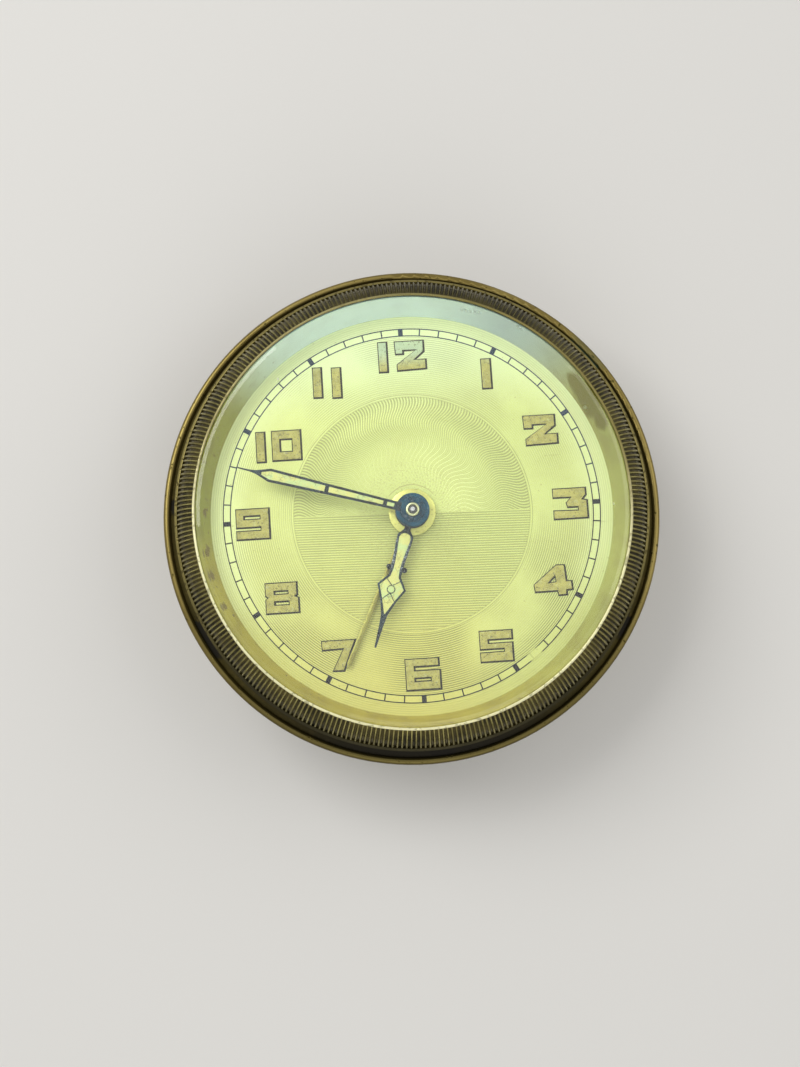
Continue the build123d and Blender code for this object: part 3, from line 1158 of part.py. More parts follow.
def hour_bars(level, thickness):
    """Small ring in the hour hand's diamond and the four bars that hold it."""
    ring_centre = (0, HOUR_RING_DISTANCE)
    inner = HOUR_RING_RADIUS - HOUR_RING_WIDTH
    top = level + thickness
    ring = tube(HOUR_RING_RADIUS, inner, level, top, ring_centre)
    blade = slab(outline_points(HOUR_OUTLINE), level, top)
    for across, along in HOUR_BAR_ENDS:
        from_centre = math.copysign(HOUR_RING_RADIUS - HOUR_RING_WIDTH / 2, along)
        start = (0, HOUR_RING_DISTANCE + from_centre)
        for side in (-1, 1):
            end = (side * across, start[1] + along)
            ring += bar(start, end, HOUR_RING_WIDTH, level, top) & blade
    return [ring]


def hour_knobs(level, thickness):
    """The two round knobs on the hour hand's waist."""
    return [
        rod(HOUR_KNOB_RADIUS, level, level + thickness, (side * HOUR_KNOB_OFFSET, HOUR_KNOB_DISTANCE))
        for side in (-1, 1)
    ]


def make_minute_hand():
    """Skeleton minute hand."""
    opening = inset(MINUTE_OUTLINE, MINUTE_WINDOW_ENDS, MINUTE_HAND_Z - OVERRUN, MINUTE_HAND_Z + OVERRUN)
    bars = minute_bars(MINUTE_HAND_Z, HAND_THICKNESS)
    hand = make_hand(MINUTE_OUTLINE, [opening], bars, MINUTE_HUB_RADIUS, CANNON_SEAT_RADIUS, MINUTE_HAND_Z)
    return pointing(hand, MINUTE_HAND_ANGLE)


def make_minute_filling():
    """Luminous filling in the minute hand's openings."""
    filling = inset(MINUTE_OUTLINE, MINUTE_WINDOW_ENDS, MINUTE_HAND_Z, MINUTE_HAND_Z + FILLING_THICKNESS)
    for crossing in minute_bars(MINUTE_HAND_Z - OVERRUN, HAND_THICKNESS + 2 * OVERRUN):
        filling -= crossing
    return pointing(filling, MINUTE_HAND_ANGLE)


def make_hour_hand():
    """Skeleton hour hand with a diamond, a small ring and two waist knobs."""
    opening = slab(outline_points(HOUR_WINDOW), HOUR_HAND_Z - OVERRUN, HOUR_HAND_Z + OVERRUN)
    bars = hour_bars(HOUR_HAND_Z, HAND_THICKNESS) + hour_knobs(HOUR_HAND_Z, HAND_THICKNESS)
    hand = make_hand(HOUR_OUTLINE, [opening], bars, HOUR_HUB_RADIUS, HOUR_PIPE_RADIUS, HOUR_HAND_Z)
    return pointing(hand, HOUR_HAND_ANGLE)


def make_hour_filling():
    """Luminous filling in the hour hand's openings."""
    filling = slab(outline_points(HOUR_WINDOW), HOUR_HAND_Z, HOUR_HAND_Z + FILLING_THICKNESS)
    for crossing in hour_bars(HOUR_HAND_Z - OVERRUN, HAND_THICKNESS + 2 * OVERRUN):
        filling -= crossing
    return pointing(filling, HOUR_HAND_ANGLE)


def make_alarm_hand():
    """Plain narrow brass hand on a wide hub."""
    hand = make_hand(ALARM_OUTLINE, [], [], ALARM_HUB_RADIUS, ALARM_PIPE_RADIUS, ALARM_HAND_Z)
    return pointing(hand, ALARM_HAND_ANGLE)


def make_collet():
    """Round brass collet that holds the minute hand down on the cannon pinion."""
    return tube(COLLET_RADIUS, CENTRE_PIN_RADIUS + PIVOT_FIT, HUB_TOP, HUB_TOP + COLLET_HEIGHT)


NODES = {
    "case_shell": make_case_shell(),
    "back_cover": make_back_cover(),
    "back_cover_screws": make_cover_screws(),
    "bezel": make_bezel(),
    "glass": make_glass(),
    "cone_ring": make_cone_ring(),
    "dial": make_dial(),
    "front_plate": make_front_plate(),
    "back_plate": make_back_plate(),
    "pillars": make_pillars(),
    "pillar_nuts": make_pillar_nuts(),
    "time_barrel": make_barrel(GREAT_TEETH, TIME_BARREL, CENTRE),
    "time_barrel_lid": make_barrel_lid(GREAT_TEETH, TIME_BARREL),
    "time_mainspring": make_mainspring(GREAT_TEETH, TIME_BARREL, MAINSPRING_TURNS),
    "time_barrel_arbor": make_barrel_arbor(TIME_BARREL),
    "time_ratchet_wheel": make_ratchet_wheel(TIME_BARREL, TIME_CLICK_DIRECTION),
    "time_click": make_click(TIME_BARREL, TIME_CLICK_DIRECTION, CLICKS["time"]),
    "time_winding_key": make_winding_key(TIME_BARREL, TIME_KEY_TURN),
    "alarm_barrel": make_barrel(ALARM_GREAT_TEETH, ALARM_BARREL, VERGE),
    "alarm_barrel_lid": make_barrel_lid(ALARM_GREAT_TEETH, ALARM_BARREL),
    "alarm_mainspring": make_mainspring(ALARM_GREAT_TEETH, ALARM_BARREL, ALARM_SPRING_TURNS),
    "alarm_barrel_arbor": make_barrel_arbor(ALARM_BARREL),
    "alarm_ratchet_wheel": make_ratchet_wheel(ALARM_BARREL, ALARM_CLICK_DIRECTION),
    "alarm_click": make_click(ALARM_BARREL, ALARM_CLICK_DIRECTION, CLICKS["alarm"]),
    "alarm_winding_key": make_winding_key(ALARM_BARREL, ALARM_KEY_TURN),
    "click_springs": make_click_springs(),
    "shoulder_screws": make_shoulder_screws(),
    "centre_wheel": train_wheel(CENTRE_TEETH, CENTRE_MODULE, CENTRE_WHEEL_Z, CENTRE, THIRD),
    "centre_arbor": make_centre_arbor(),
    "third_wheel": train_wheel(THIRD_TEETH, THIRD_MODULE, THIRD_WHEEL_Z, THIRD, FOURTH),
    "third_pinion": make_pinion_arbor(THIRD, THIRD_LEAVES, CENTRE_MODULE, CENTRE_WHEEL_Z, CENTRE),
    "fourth_wheel": train_wheel(FOURTH_TEETH, FOURTH_MODULE, FOURTH_WHEEL_Z, FOURTH, ESCAPE),
    "fourth_pinion": make_pinion_arbor(FOURTH, FOURTH_LEAVES, THIRD_MODULE, THIRD_WHEEL_Z, THIRD),
    "escape_wheel": make_escape_wheel(),
    "escape_pinion": make_pinion_arbor(ESCAPE, ESCAPE_LEAVES, FOURTH_MODULE, FOURTH_WHEEL_Z, FOURTH),
    "pallet_lever": make_pallet_lever(),
    "balance_wheel": make_balance_wheel(),
    "balance_staff": make_balance_staff(),
    "balance_screws": make_balance_screws(),
    "hairspring": make_hairspring(),
    "regulator": make_regulator(),
    "alarm_verge_wheel": make_verge_wheel(),
    "alarm_hammer": make_hammer(),
    "alarm_stop_lever": make_stop_lever(),
    "cannon_pinion": make_cannon_pinion(),
    "minute_wheel": make_minute_wheel(),
    "hour_wheel": make_hour_wheel(),
    "alarm_wheel": make_alarm_wheel(),
    "alarm_release_spring": make_release_spring(),
    "hand_set_arbor": make_setter(
        HAND_SETTER, CANNON_LEAVES, MINUTE_WHEEL, CANNON_Z, CANNON_Z + 2 * WHEEL_THICKNESS,
    ),
    "hand_set_knob": make_knob(HAND_SETTER),
    "alarm_set_arbor": make_setter(
        ALARM_SETTER, ALARM_SET_LEAVES, CENTRE,
        ALARM_WHEEL_Z - SPACING, ALARM_WHEEL_Z + WHEEL_THICKNESS + SPACING,
    ),
    "alarm_set_knob": make_knob(ALARM_SETTER),
    "alarm_hand": make_alarm_hand(),
    "hour_hand": make_hour_hand(),
    "hour_hand_filling": make_hour_filling(),
    "minute_hand": make_minute_hand(),
    "minute_hand_filling": make_minute_filling(),
    "minute_hand_collet": make_collet(),
}

os.makedirs("parts", exist_ok=True)
for name, shape in NODES.items():
    export_step(shape, f"parts/{name}.step")
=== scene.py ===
"""Round travel alarm clock, dressed and lit.

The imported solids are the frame. Each sub-assembly is a class that models its own pieces in
millimetres, turns them into metres when they are done, and dresses them in its finishes.
"""

from __future__ import annotations

import json
import logging
import math
from collections.abc import Callable, Sequence
from dataclasses import dataclass, field
from enum import Enum
from typing import ClassVar

import bmesh
import bpy
from mathutils import Matrix, Vector

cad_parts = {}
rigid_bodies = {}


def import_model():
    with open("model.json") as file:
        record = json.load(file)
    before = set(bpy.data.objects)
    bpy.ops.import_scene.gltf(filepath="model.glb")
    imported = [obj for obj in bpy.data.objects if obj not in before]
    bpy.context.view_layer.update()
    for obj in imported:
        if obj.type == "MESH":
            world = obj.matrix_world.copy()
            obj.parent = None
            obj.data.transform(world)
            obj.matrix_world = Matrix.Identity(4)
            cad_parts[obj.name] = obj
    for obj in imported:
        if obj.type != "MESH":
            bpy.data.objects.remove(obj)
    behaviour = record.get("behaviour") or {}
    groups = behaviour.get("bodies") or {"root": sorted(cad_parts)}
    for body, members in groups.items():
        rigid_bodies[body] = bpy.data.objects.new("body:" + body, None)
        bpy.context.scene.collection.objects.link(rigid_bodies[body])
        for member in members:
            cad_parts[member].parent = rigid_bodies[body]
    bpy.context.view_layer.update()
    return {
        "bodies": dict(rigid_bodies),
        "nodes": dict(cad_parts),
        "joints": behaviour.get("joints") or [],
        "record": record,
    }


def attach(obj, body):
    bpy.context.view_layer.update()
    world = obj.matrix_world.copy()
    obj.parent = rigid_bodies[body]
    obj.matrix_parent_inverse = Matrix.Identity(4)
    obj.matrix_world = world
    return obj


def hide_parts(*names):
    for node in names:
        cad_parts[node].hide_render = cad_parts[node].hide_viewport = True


LOG = logging.getLogger("travel_clock")
METRE = 0.001
FULL_TURN = 2 * math.pi
MERGE = 0.0005
SHARPEST = 0.45

Point = tuple[float, float]
Loop = list[Point]
Paint = tuple[float, float, float, float]
Socket = bpy.types.NodeSocket
Material = bpy.types.Material
Piece = bpy.types.Object
Feed = "float | tuple | bpy.types.NodeSocket"


def paint(red: int, green: int, blue: int) -> Paint:
    """A shader colour from a colour as it looks on screen.

    Args:
        red: screen value from 0 to 255.
        green: the same.
        blue: the same.

    Returns:
        The linear colour with full opacity.
    """

    def linear(value: int) -> float:
        """One channel, by the standard curve of screens."""
        share = value / 255
        return share / 12.92 if share <= 0.04045 else ((share + 0.055) / 1.055) ** 2.4

    return (linear(red), linear(green), linear(blue), 1.0)


def polar(radius: float, degrees: float) -> Point:
    """The point at a radius and a clockwise angle from 12."""
    turn = math.radians(degrees)
    return (radius * math.sin(turn), radius * math.cos(turn))


class Wiring:
    """Adds nodes to one shader tree and joins them."""

    MIX_AMOUNT: ClassVar[int] = 0
    MIX_NUMBERS: ClassVar[tuple[int, int]] = (2, 3)
    MIX_COLOURS: ClassVar[tuple[int, int]] = (6, 7)
    MIXED_NUMBER: ClassVar[int] = 0
    MIXED_COLOUR: ClassVar[int] = 2

    def __init__(self, tree: bpy.types.NodeTree) -> None:
        """Works on a tree that exists."""
        self.tree = tree

    def node(self, kind: str, **settings: object) -> bpy.types.Node:
        """Adds one node.

        Args:
            kind: the node's type without its ShaderNode prefix.
            settings: properties of the node.

        Returns:
            The node.
        """
        node = self.tree.nodes.new("ShaderNode" + kind)
        for name, value in settings.items():
            setattr(node, name, value)
        return node

    def feed(self, socket: Socket, value: Feed) -> None:
        """Joins a socket to another one, or sets its value.

        Args:
            socket: the input to feed.
            value: an output to join it to, or a plain value.
        """
        if isinstance(value, bpy.types.NodeSocket):
            self.tree.links.new(value, socket)
        else:
            socket.default_value = value

    def math(self, operation: str, *values: Feed) -> Socket:
        """One calculation.

        Args:
            operation: the Math node's operation.
            values: what it works on, in order.

        Returns:
            The result.
        """
        node = self.node("Math", operation=operation)
        for socket, value in zip(node.inputs, values):
            self.feed(socket, value)
        return node.outputs[0]

    def times(self, first: Feed, second: Feed) -> Socket:
        """A product."""
        return self.math("MULTIPLY", first, second)

    def plus(self, first: Feed, second: Feed) -> Socket:
        """A sum."""
        return self.math("ADD", first, second)

    def less(self, first: Feed, second: Feed) -> Socket:
        """A difference."""
        return self.math("SUBTRACT", first, second)

    def over(self, first: Feed, second: Feed) -> Socket:
        """A quotient."""
        return self.math("DIVIDE", first, second)

    def most(self, first: Feed, second: Feed) -> Socket:
        """The larger of two values."""
        return self.math("MAXIMUM", first, second)

    def spread(self, value: Feed, factor: float, start: float) -> Socket:
        """A value times a factor, from a start."""
        return self.math("MULTIPLY_ADD", value, factor, start)

    def rise(self, value: Feed, low: float, high: float) -> Socket:
        """A smooth step from 0 to 1.

        Args:
            value: what is measured.
            low: where the step starts.
            high: where it ends.

        Returns:
            The step.
        """
        node = self.node("MapRange", interpolation_type="SMOOTHSTEP")
        for socket, entry in zip(node.inputs, (value, low, high, 0.0, 1.0)):
            self.feed(socket, entry)
        return node.outputs[0]

    def fall(self, value: Feed, low: float, high: float) -> Socket:
        """A smooth step from 1 at low to 0 at high."""
        return self.less(1.0, self.rise(value, low, high))

    def band(self, value: Feed, low: float, high: float, soft: float) -> Socket:
        """A mask that is 1 between two values.

        Args:
            value: what is measured.
            low: where the band starts.
            high: where it ends.
            soft: half the width of its soft ends.

        Returns:
            The mask.
        """
        up = self.rise(value, low - soft, low + soft)
        return self.times(up, self.fall(value, high - soft, high + soft))

    def blend(self, amount: Feed, base: Feed, top: Feed) -> Socket:
        """Lays one colour over another.

        Args:
            amount: how much of the upper colour shows.
            base: the lower colour.
            top: the upper colour.

        Returns:
            The mixed colour.
        """
        node = self.node("Mix", data_type="RGBA")
        self.feed(node.inputs[self.MIX_AMOUNT], amount)
        for index, colour in zip(self.MIX_COLOURS, (base, top)):
            self.feed(node.inputs[index], colour)
        return node.outputs[self.MIXED_COLOUR]

    def lay(self, base: Feed, top: Feed, mask: Feed, share: float) -> Socket:
        """Lays a colour over another where a mask is, and only by a share."""
        return self.blend(self.times(mask, share), base, top)

    def choose(self, amount: Feed, low: Feed, high: Feed) -> Socket:
        """Passes from one value to another.

        Args:
            amount: 0 for the first value and 1 for the second.
            low: the first value.
            high: the second value.

        Returns:
            The value between them.
        """
        node = self.node("Mix", data_type="FLOAT")
        self.feed(node.inputs[self.MIX_AMOUNT], amount)
        for index, value in zip(self.MIX_NUMBERS, (low, high)):
            self.feed(node.inputs[index], value)
        return node.outputs[self.MIXED_NUMBER]

    def noise(self, place: Feed, scale: Feed, detail: float) -> Socket:
        """Cloudy noise, about 0.5 in the middle.

        Args:
            place: where it is read.
            scale: clouds to a millimetre.
            detail: how many finer layers it has.

        Returns:
            The noise.
        """
        node = self.node("TexNoise")
        for name, value in (("Vector", place), ("Scale", scale), ("Detail", detail)):
            self.feed(node.inputs[name], value)
        return node.outputs[0]

    def mapped(self, place: Feed, scale: tuple, turn: float = 0.0) -> Socket:
        """A place that is stretched and turned about the clock's axis.

        Args:
            place: the place in millimetres.
            scale: factor along each axis.
            turn: angle in radians.

        Returns:
            The new place.
        """
        node = self.node("Mapping")
        self.feed(node.inputs["Vector"], place)
        node.inputs["Rotation"].default_value = (0.0, 0.0, turn)
        node.inputs["Scale"].default_value = scale
        return node.outputs[0]

    def length(self, across: Socket, up: Socket) -> Socket:
        """The distance from the origin, from two coordinates."""
        return self.math("SQRT", self.plus(self.times(across, across), self.times(up, up)))

    def effect(self, group: bpy.types.NodeTree, **values: Feed) -> dict[str, Socket]:
        """Places a shared effect.

        Args:
            group: the effect's node group.
            values: its inputs by name.

        Returns:
            Its outputs by name.
        """
        node = self.node("Group")
        node.node_tree = group
        for name, value in values.items():
            self.feed(node.inputs[name], value)
        return {socket.name: socket for socket in node.outputs}

    def shader_mix(self, amount: Feed, first: Socket, second: Socket) -> Socket:
        """Passes from one shader to another.

        Args:
            amount: 0 for the first shader and 1 for the second.
            first: the first shader's output.
            second: the second shader's output.

        Returns:
            The mixed shader.
        """
        node = self.node("MixShader")
        for socket, value in zip(node.inputs, (amount, first, second)):
            self.feed(socket, value)
        return node.outputs[0]


@dataclass(frozen=True)
class Grain:
    """How a mask made of noise lies: marks to a millimetre, where they start and how softly."""

    scale: float
    level: float
    soft: float


class SharedEffect(Enum):
    """Effects that more than one finish uses."""

    PLACE = "place on the clock"
    BLOTCHES = "tarnish blotches"
    SPECKS = "small specks"
    SCRATCHES = "fine scratches"
    BRUSHING = "round brushing"
    PATCH = "patch at a place"


class EffectShelf:
    """Builds each shared effect once and hands it out."""

    ORIGIN: ClassVar[tuple[float, float, float]] = (0.0, 0.0, 0.0)
    CLOUD_DETAIL: ClassVar[float] = 5.0
    CLOUD_ROUGHNESS: ClassVar[float] = 0.62
    SPECK_DETAIL: ClassVar[float] = 1.5
    LINE_DETAIL: ClassVar[float] = 2.0
    SCRATCH_STRETCH: ClassVar[tuple[float, float, float]] = (0.12, 3.0, 0.5)
    SCRATCH_TURNS: ClassVar[tuple[float, float]] = (0.5, 2.2)
    BRUSH_LENGTH: ClassVar[float] = 0.6
    BRUSH_SHADE: ClassVar[Point] = (0.3, 0.7)
    PATCH_CLOUDS: ClassVar[float] = 0.9
    PATCH_DETAIL: ClassVar[float] = 4.0
    PATCH_EDGE: ClassVar[Point] = (0.6, 1.1)

    def __init__(self) -> None:
        """Starts empty."""
        self.groups: dict[SharedEffect, bpy.types.NodeTree] = {}
        self.makers: dict[SharedEffect, Callable[[], None]] = {
            SharedEffect.PLACE: self.make_place,
            SharedEffect.BLOTCHES: self.make_blotches,
            SharedEffect.SPECKS: self.make_specks,
            SharedEffect.SCRATCHES: self.make_scratches,
            SharedEffect.BRUSHING: self.make_brushing,
            SharedEffect.PATCH: self.make_patch,
        }

    def get(self, effect: SharedEffect) -> bpy.types.NodeTree:
        """Hands out an effect, which is built at its first use.

        Args:
            effect: which effect.

        Returns:
            Its node group.
        """
        if effect not in self.groups:
            self.makers[effect]()
        return self.groups[effect]

    def start(
        self, effect: SharedEffect, inputs: dict[str, float | tuple], outputs: Sequence[str]
    ) -> tuple[Wiring, dict[str, Socket], bpy.types.Node]:
        """Opens a new group with its sockets.

        Args:
            effect: the effect that it is for.
            inputs: input names with their values.
            outputs: output names.

        Returns:
            Its wiring, its inputs by name, and its output node.
        """
        tree = self.groups[effect] = bpy.data.node_groups.new(effect.value, "ShaderNodeTree")
        for name, value in inputs.items():
            kind = "NodeSocketVector" if isinstance(value, tuple) else "NodeSocketFloat"
            socket = tree.interface.new_socket(name, in_out="INPUT", socket_type=kind)
            socket.default_value = value
        for name in outputs:
            kind = "NodeSocketVector" if name == "Place" else "NodeSocketFloat"
            tree.interface.new_socket(name, in_out="OUTPUT", socket_type=kind)
        way_in = tree.nodes.new("NodeGroupInput")
        way_out = tree.nodes.new("NodeGroupOutput")
        return Wiring(tree), {s.name: s for s in way_in.outputs if s.name}, way_out

    def make_place(self) -> None:
        """Millimetre place, radius, height and clockwise turn from 12, in whole turns."""
        outputs = ("Place", "Across", "Up", "Height", "Radius", "Turn")
        wire, _, way_out = self.start(SharedEffect.PLACE, {}, outputs)
        scaled = wire.node("VectorMath", operation="SCALE")
        wire.feed(scaled.inputs[0], wire.node("TexCoord").outputs["Object"])
        scaled.inputs["Scale"].default_value = 1 / METRE
        split = wire.node("SeparateXYZ")
        wire.feed(split.inputs[0], scaled.outputs[0])
        across, up, height = split.outputs
        radius = wire.length(across, up)
        turn = wire.over(wire.math("ARCTAN2", across, up), FULL_TURN)
        for socket, value in zip(way_out.inputs, (scaled.outputs[0], across, up, height, radius, turn)):
            wire.feed(socket, value)

    def make_blotches(self) -> None:
        """Cloudy tarnish: a mask whose level and size are set."""
        inputs = {"Place": self.ORIGIN, "Scale": 0.3, "Level": 0.5, "Soft": 0.1}
        wire, given, way_out = self.start(SharedEffect.BLOTCHES, inputs, ("Mask",))
        noise = wire.noise(given["Place"], given["Scale"], self.CLOUD_DETAIL)
        noise.node.inputs["Roughness"].default_value = self.CLOUD_ROUGHNESS
        self.threshold(wire, noise, given, way_out)

    def make_specks(self) -> None:
        """Small separate specks of uneven size."""
        inputs = {"Place": self.ORIGIN, "Scale": 2.0, "Level": 0.7, "Soft": 0.04}
        wire, given, way_out = self.start(SharedEffect.SPECKS, inputs, ("Mask",))
        noise = wire.noise(given["Place"], given["Scale"], self.SPECK_DETAIL)
        self.threshold(wire, noise, given, way_out)

    def make_scratches(self) -> None:
        """Thin scattered lines in two directions."""
        inputs = {"Place": self.ORIGIN, "Scale": 1.0, "Level": 0.7, "Soft": 0.03}
        wire, given, way_out = self.start(SharedEffect.SCRATCHES, inputs, ("Mask",))
        places = [wire.mapped(given["Place"], self.SCRATCH_STRETCH, turn) for turn in self.SCRATCH_TURNS]
        lines = [wire.noise(place, given["Scale"], self.LINE_DETAIL) for place in places]
        self.threshold(wire, wire.most(*lines), given, way_out)

    def make_brushing(self) -> None:
        """Fine turned lines around the clock's axis, as a height and a shade."""
        inputs = {"Place": self.ORIGIN, "Pitch": 0.2, "Depth": 0.01}
        wire, given, way_out = self.start(SharedEffect.BRUSHING, inputs, ("Height", "Shade"))
        split = wire.node("SeparateXYZ")
        wire.feed(split.inputs[0], given["Place"])
        across, up, height = split.outputs
        lines = wire.node("CombineXYZ")
        wire.feed(lines.inputs[0], wire.over(wire.length(across, up), given["Pitch"]))
        wire.feed(lines.inputs[1], wire.times(wire.math("ARCTAN2", across, up), self.BRUSH_LENGTH))
        wire.feed(lines.inputs[2], wire.over(height, given["Pitch"]))
        noise = wire.noise(lines.outputs[0], 1.0, self.LINE_DETAIL)
        wire.feed(way_out.inputs["Height"], wire.times(noise, given["Depth"]))
        wire.feed(way_out.inputs["Shade"], wire.rise(noise, *self.BRUSH_SHADE))

    def make_patch(self) -> None:
        """A ragged patch around one point."""
        inputs = {"Place": self.ORIGIN, "Centre": self.ORIGIN, "Reach": 2.0, "Rag": 1.0}
        wire, given, way_out = self.start(SharedEffect.PATCH, inputs, ("Mask",))
        away = wire.node("VectorMath", operation="DISTANCE")
        wire.feed(away.inputs[0], given["Place"])
        wire.feed(away.inputs[1], given["Centre"])
        clouds = wire.noise(given["Place"], self.PATCH_CLOUDS, self.PATCH_DETAIL)
        rag = wire.times(wire.less(clouds, 0.5), given["Rag"])
        share = wire.plus(wire.over(away.outputs["Value"], given["Reach"]), rag)
        wire.feed(way_out.inputs["Mask"], wire.fall(share, *self.PATCH_EDGE))

    @staticmethod
    def threshold(wire: Wiring, value: Socket, given: dict[str, Socket], way_out: bpy.types.Node) -> None:
        """Ends a group with a mask where its value passes the level.

        Args:
            wire: the group's wiring.
            value: the noise.
            given: the group's inputs.
            way_out: the group's output node.
        """
        low, high = wire.less(given["Level"], given["Soft"]), wire.plus(given["Level"], given["Soft"])
        wire.feed(way_out.inputs["Mask"], wire.rise(value, low, high))


SHELF = EffectShelf()


class Bench:
    """A material being made: its wiring, its surface and its place on the clock."""

    def __init__(self, name: str, metallic: float) -> None:
        """Opens a material with one surface shader.

        Args:
            name: the material's name.
            metallic: how metallic the surface is where nothing changes it.
        """
        self.material = bpy.data.materials.new(name)
        self.material.use_nodes = True
        self.wire = Wiring(self.material.node_tree)
        self.surface = self.material.node_tree.nodes["Principled BSDF"]
        self.plain("Metallic", metallic)
        self.place = self.wire.effect(SHELF.get(SharedEffect.PLACE))

    def plain(self, name: str, value: float) -> None:
        """Sets a value of the surface that is the same all over."""
        self.surface.inputs[name].default_value = value

    def mask(self, effect: SharedEffect, grain: Grain) -> Socket:
        """A shared effect's mask at this surface's place.

        Args:
            effect: which effect.
            grain: how it lies.

        Returns:
            The mask.
        """
        sizes = {"Scale": grain.scale, "Level": grain.level, "Soft": grain.soft}
        return self.wire.effect(SHELF.get(effect), Place=self.place["Place"], **sizes)["Mask"]

    def blotches(self, grain: Grain) -> Socket:
        """Cloudy blotches on this surface."""
        return self.mask(SharedEffect.BLOTCHES, grain)

    def specks(self, grain: Grain) -> Socket:
        """Small specks on this surface."""
        return self.mask(SharedEffect.SPECKS, grain)

    def brushing(self, pitch: float, depth: float) -> dict[str, Socket]:
        """Turned lines about the clock's axis, as a height and a shade."""
        group = SHELF.get(SharedEffect.BRUSHING)
        return self.wire.effect(group, Place=self.place["Place"], Pitch=pitch, Depth=depth)

    def patches(self, spots: Sequence[tuple], rag: float = 1.2) -> Socket:
        """One mask for several patches.

        Args:
            spots: (x, y, z, reach) in millimetres.
            rag: how ragged their edges are.

        Returns:
            The joined mask.
        """
        group, place = SHELF.get(SharedEffect.PATCH), self.place["Place"]
        joined: Feed = 0.0
        for *centre, reach in spots:
            one = self.wire.effect(group, Place=place, Centre=tuple(centre), Reach=reach, Rag=rag)["Mask"]
            joined = self.wire.most(joined, one)
        return joined

    def below(self, near: float, far: float) -> Socket:
        """A step that rises toward 6 o'clock, between two distances below the centre."""
        return self.wire.rise(self.wire.times(self.place["Up"], -1.0), near, far)

    def above(self, near: float, far: float) -> Socket:
        """A step that rises toward 12 o'clock, between two distances above the centre."""
        return self.wire.rise(self.place["Up"], near, far)

    def beside(self, near: float, far: float) -> Socket:
        """A step that rises toward 3 o'clock, between two distances from the centre."""
        return self.wire.rise(self.place["Across"], near, far)

    def around(self, turn: float, near: float, far: float) -> Socket:
        """A mask about one direction.

        Args:
            turn: the direction, in whole turns clockwise from 12.
            near: how far from it the mask starts to fall.
            far: where it ends.

        Returns:
            The mask.
        """
        away = self.wire.math("ABSOLUTE", self.wire.less(self.place["Turn"], turn))
        return self.wire.fall(away, near, far)

    def colour(self, value: Feed) -> None:
        """Sets the surface colour."""
        self.wire.feed(self.surface.inputs["Base Color"], value)

    def rough(self, mask: Feed, start: float, share: float) -> None:
        """Sets the roughness: a start, and more of it where a mask is."""
        self.wire.feed(self.surface.inputs["Roughness"], self.wire.plus(start, self.wire.times(mask, share)))

    def metal(self, mask: Feed, start: float, share: float) -> None:
        """Sets how metallic the surface is: a start, and less of it where a mask is."""
        self.wire.feed(self.surface.inputs["Metallic"], self.wire.less(start, self.wire.times(mask, share)))

    def relief(self, height: Socket) -> None:
        """Raises the surface.

        Args:
            height: its height in millimetres.
        """
        bump = self.wire.node("Bump")
        bump.inputs["Strength"].default_value = 1.0
        bump.inputs["Distance"].default_value = METRE
        self.wire.feed(bump.inputs["Height"], height)
        self.wire.feed(self.surface.inputs["Normal"], bump.outputs[0])


class Finish:
    """A finish of one of the clock's metals, paints or its glass."""

    name: str
    metallic: float

    def make(self) -> Material:
        """Makes the material and coats it.

        Returns:
            The material.
        """
        bench = Bench(self.name, self.metallic)
        self.coat(bench)
        return bench.material

    def coat(self, bench: Bench) -> None:
        """Wires what changes over the surface; each finish has its own."""
        raise NotImplementedError


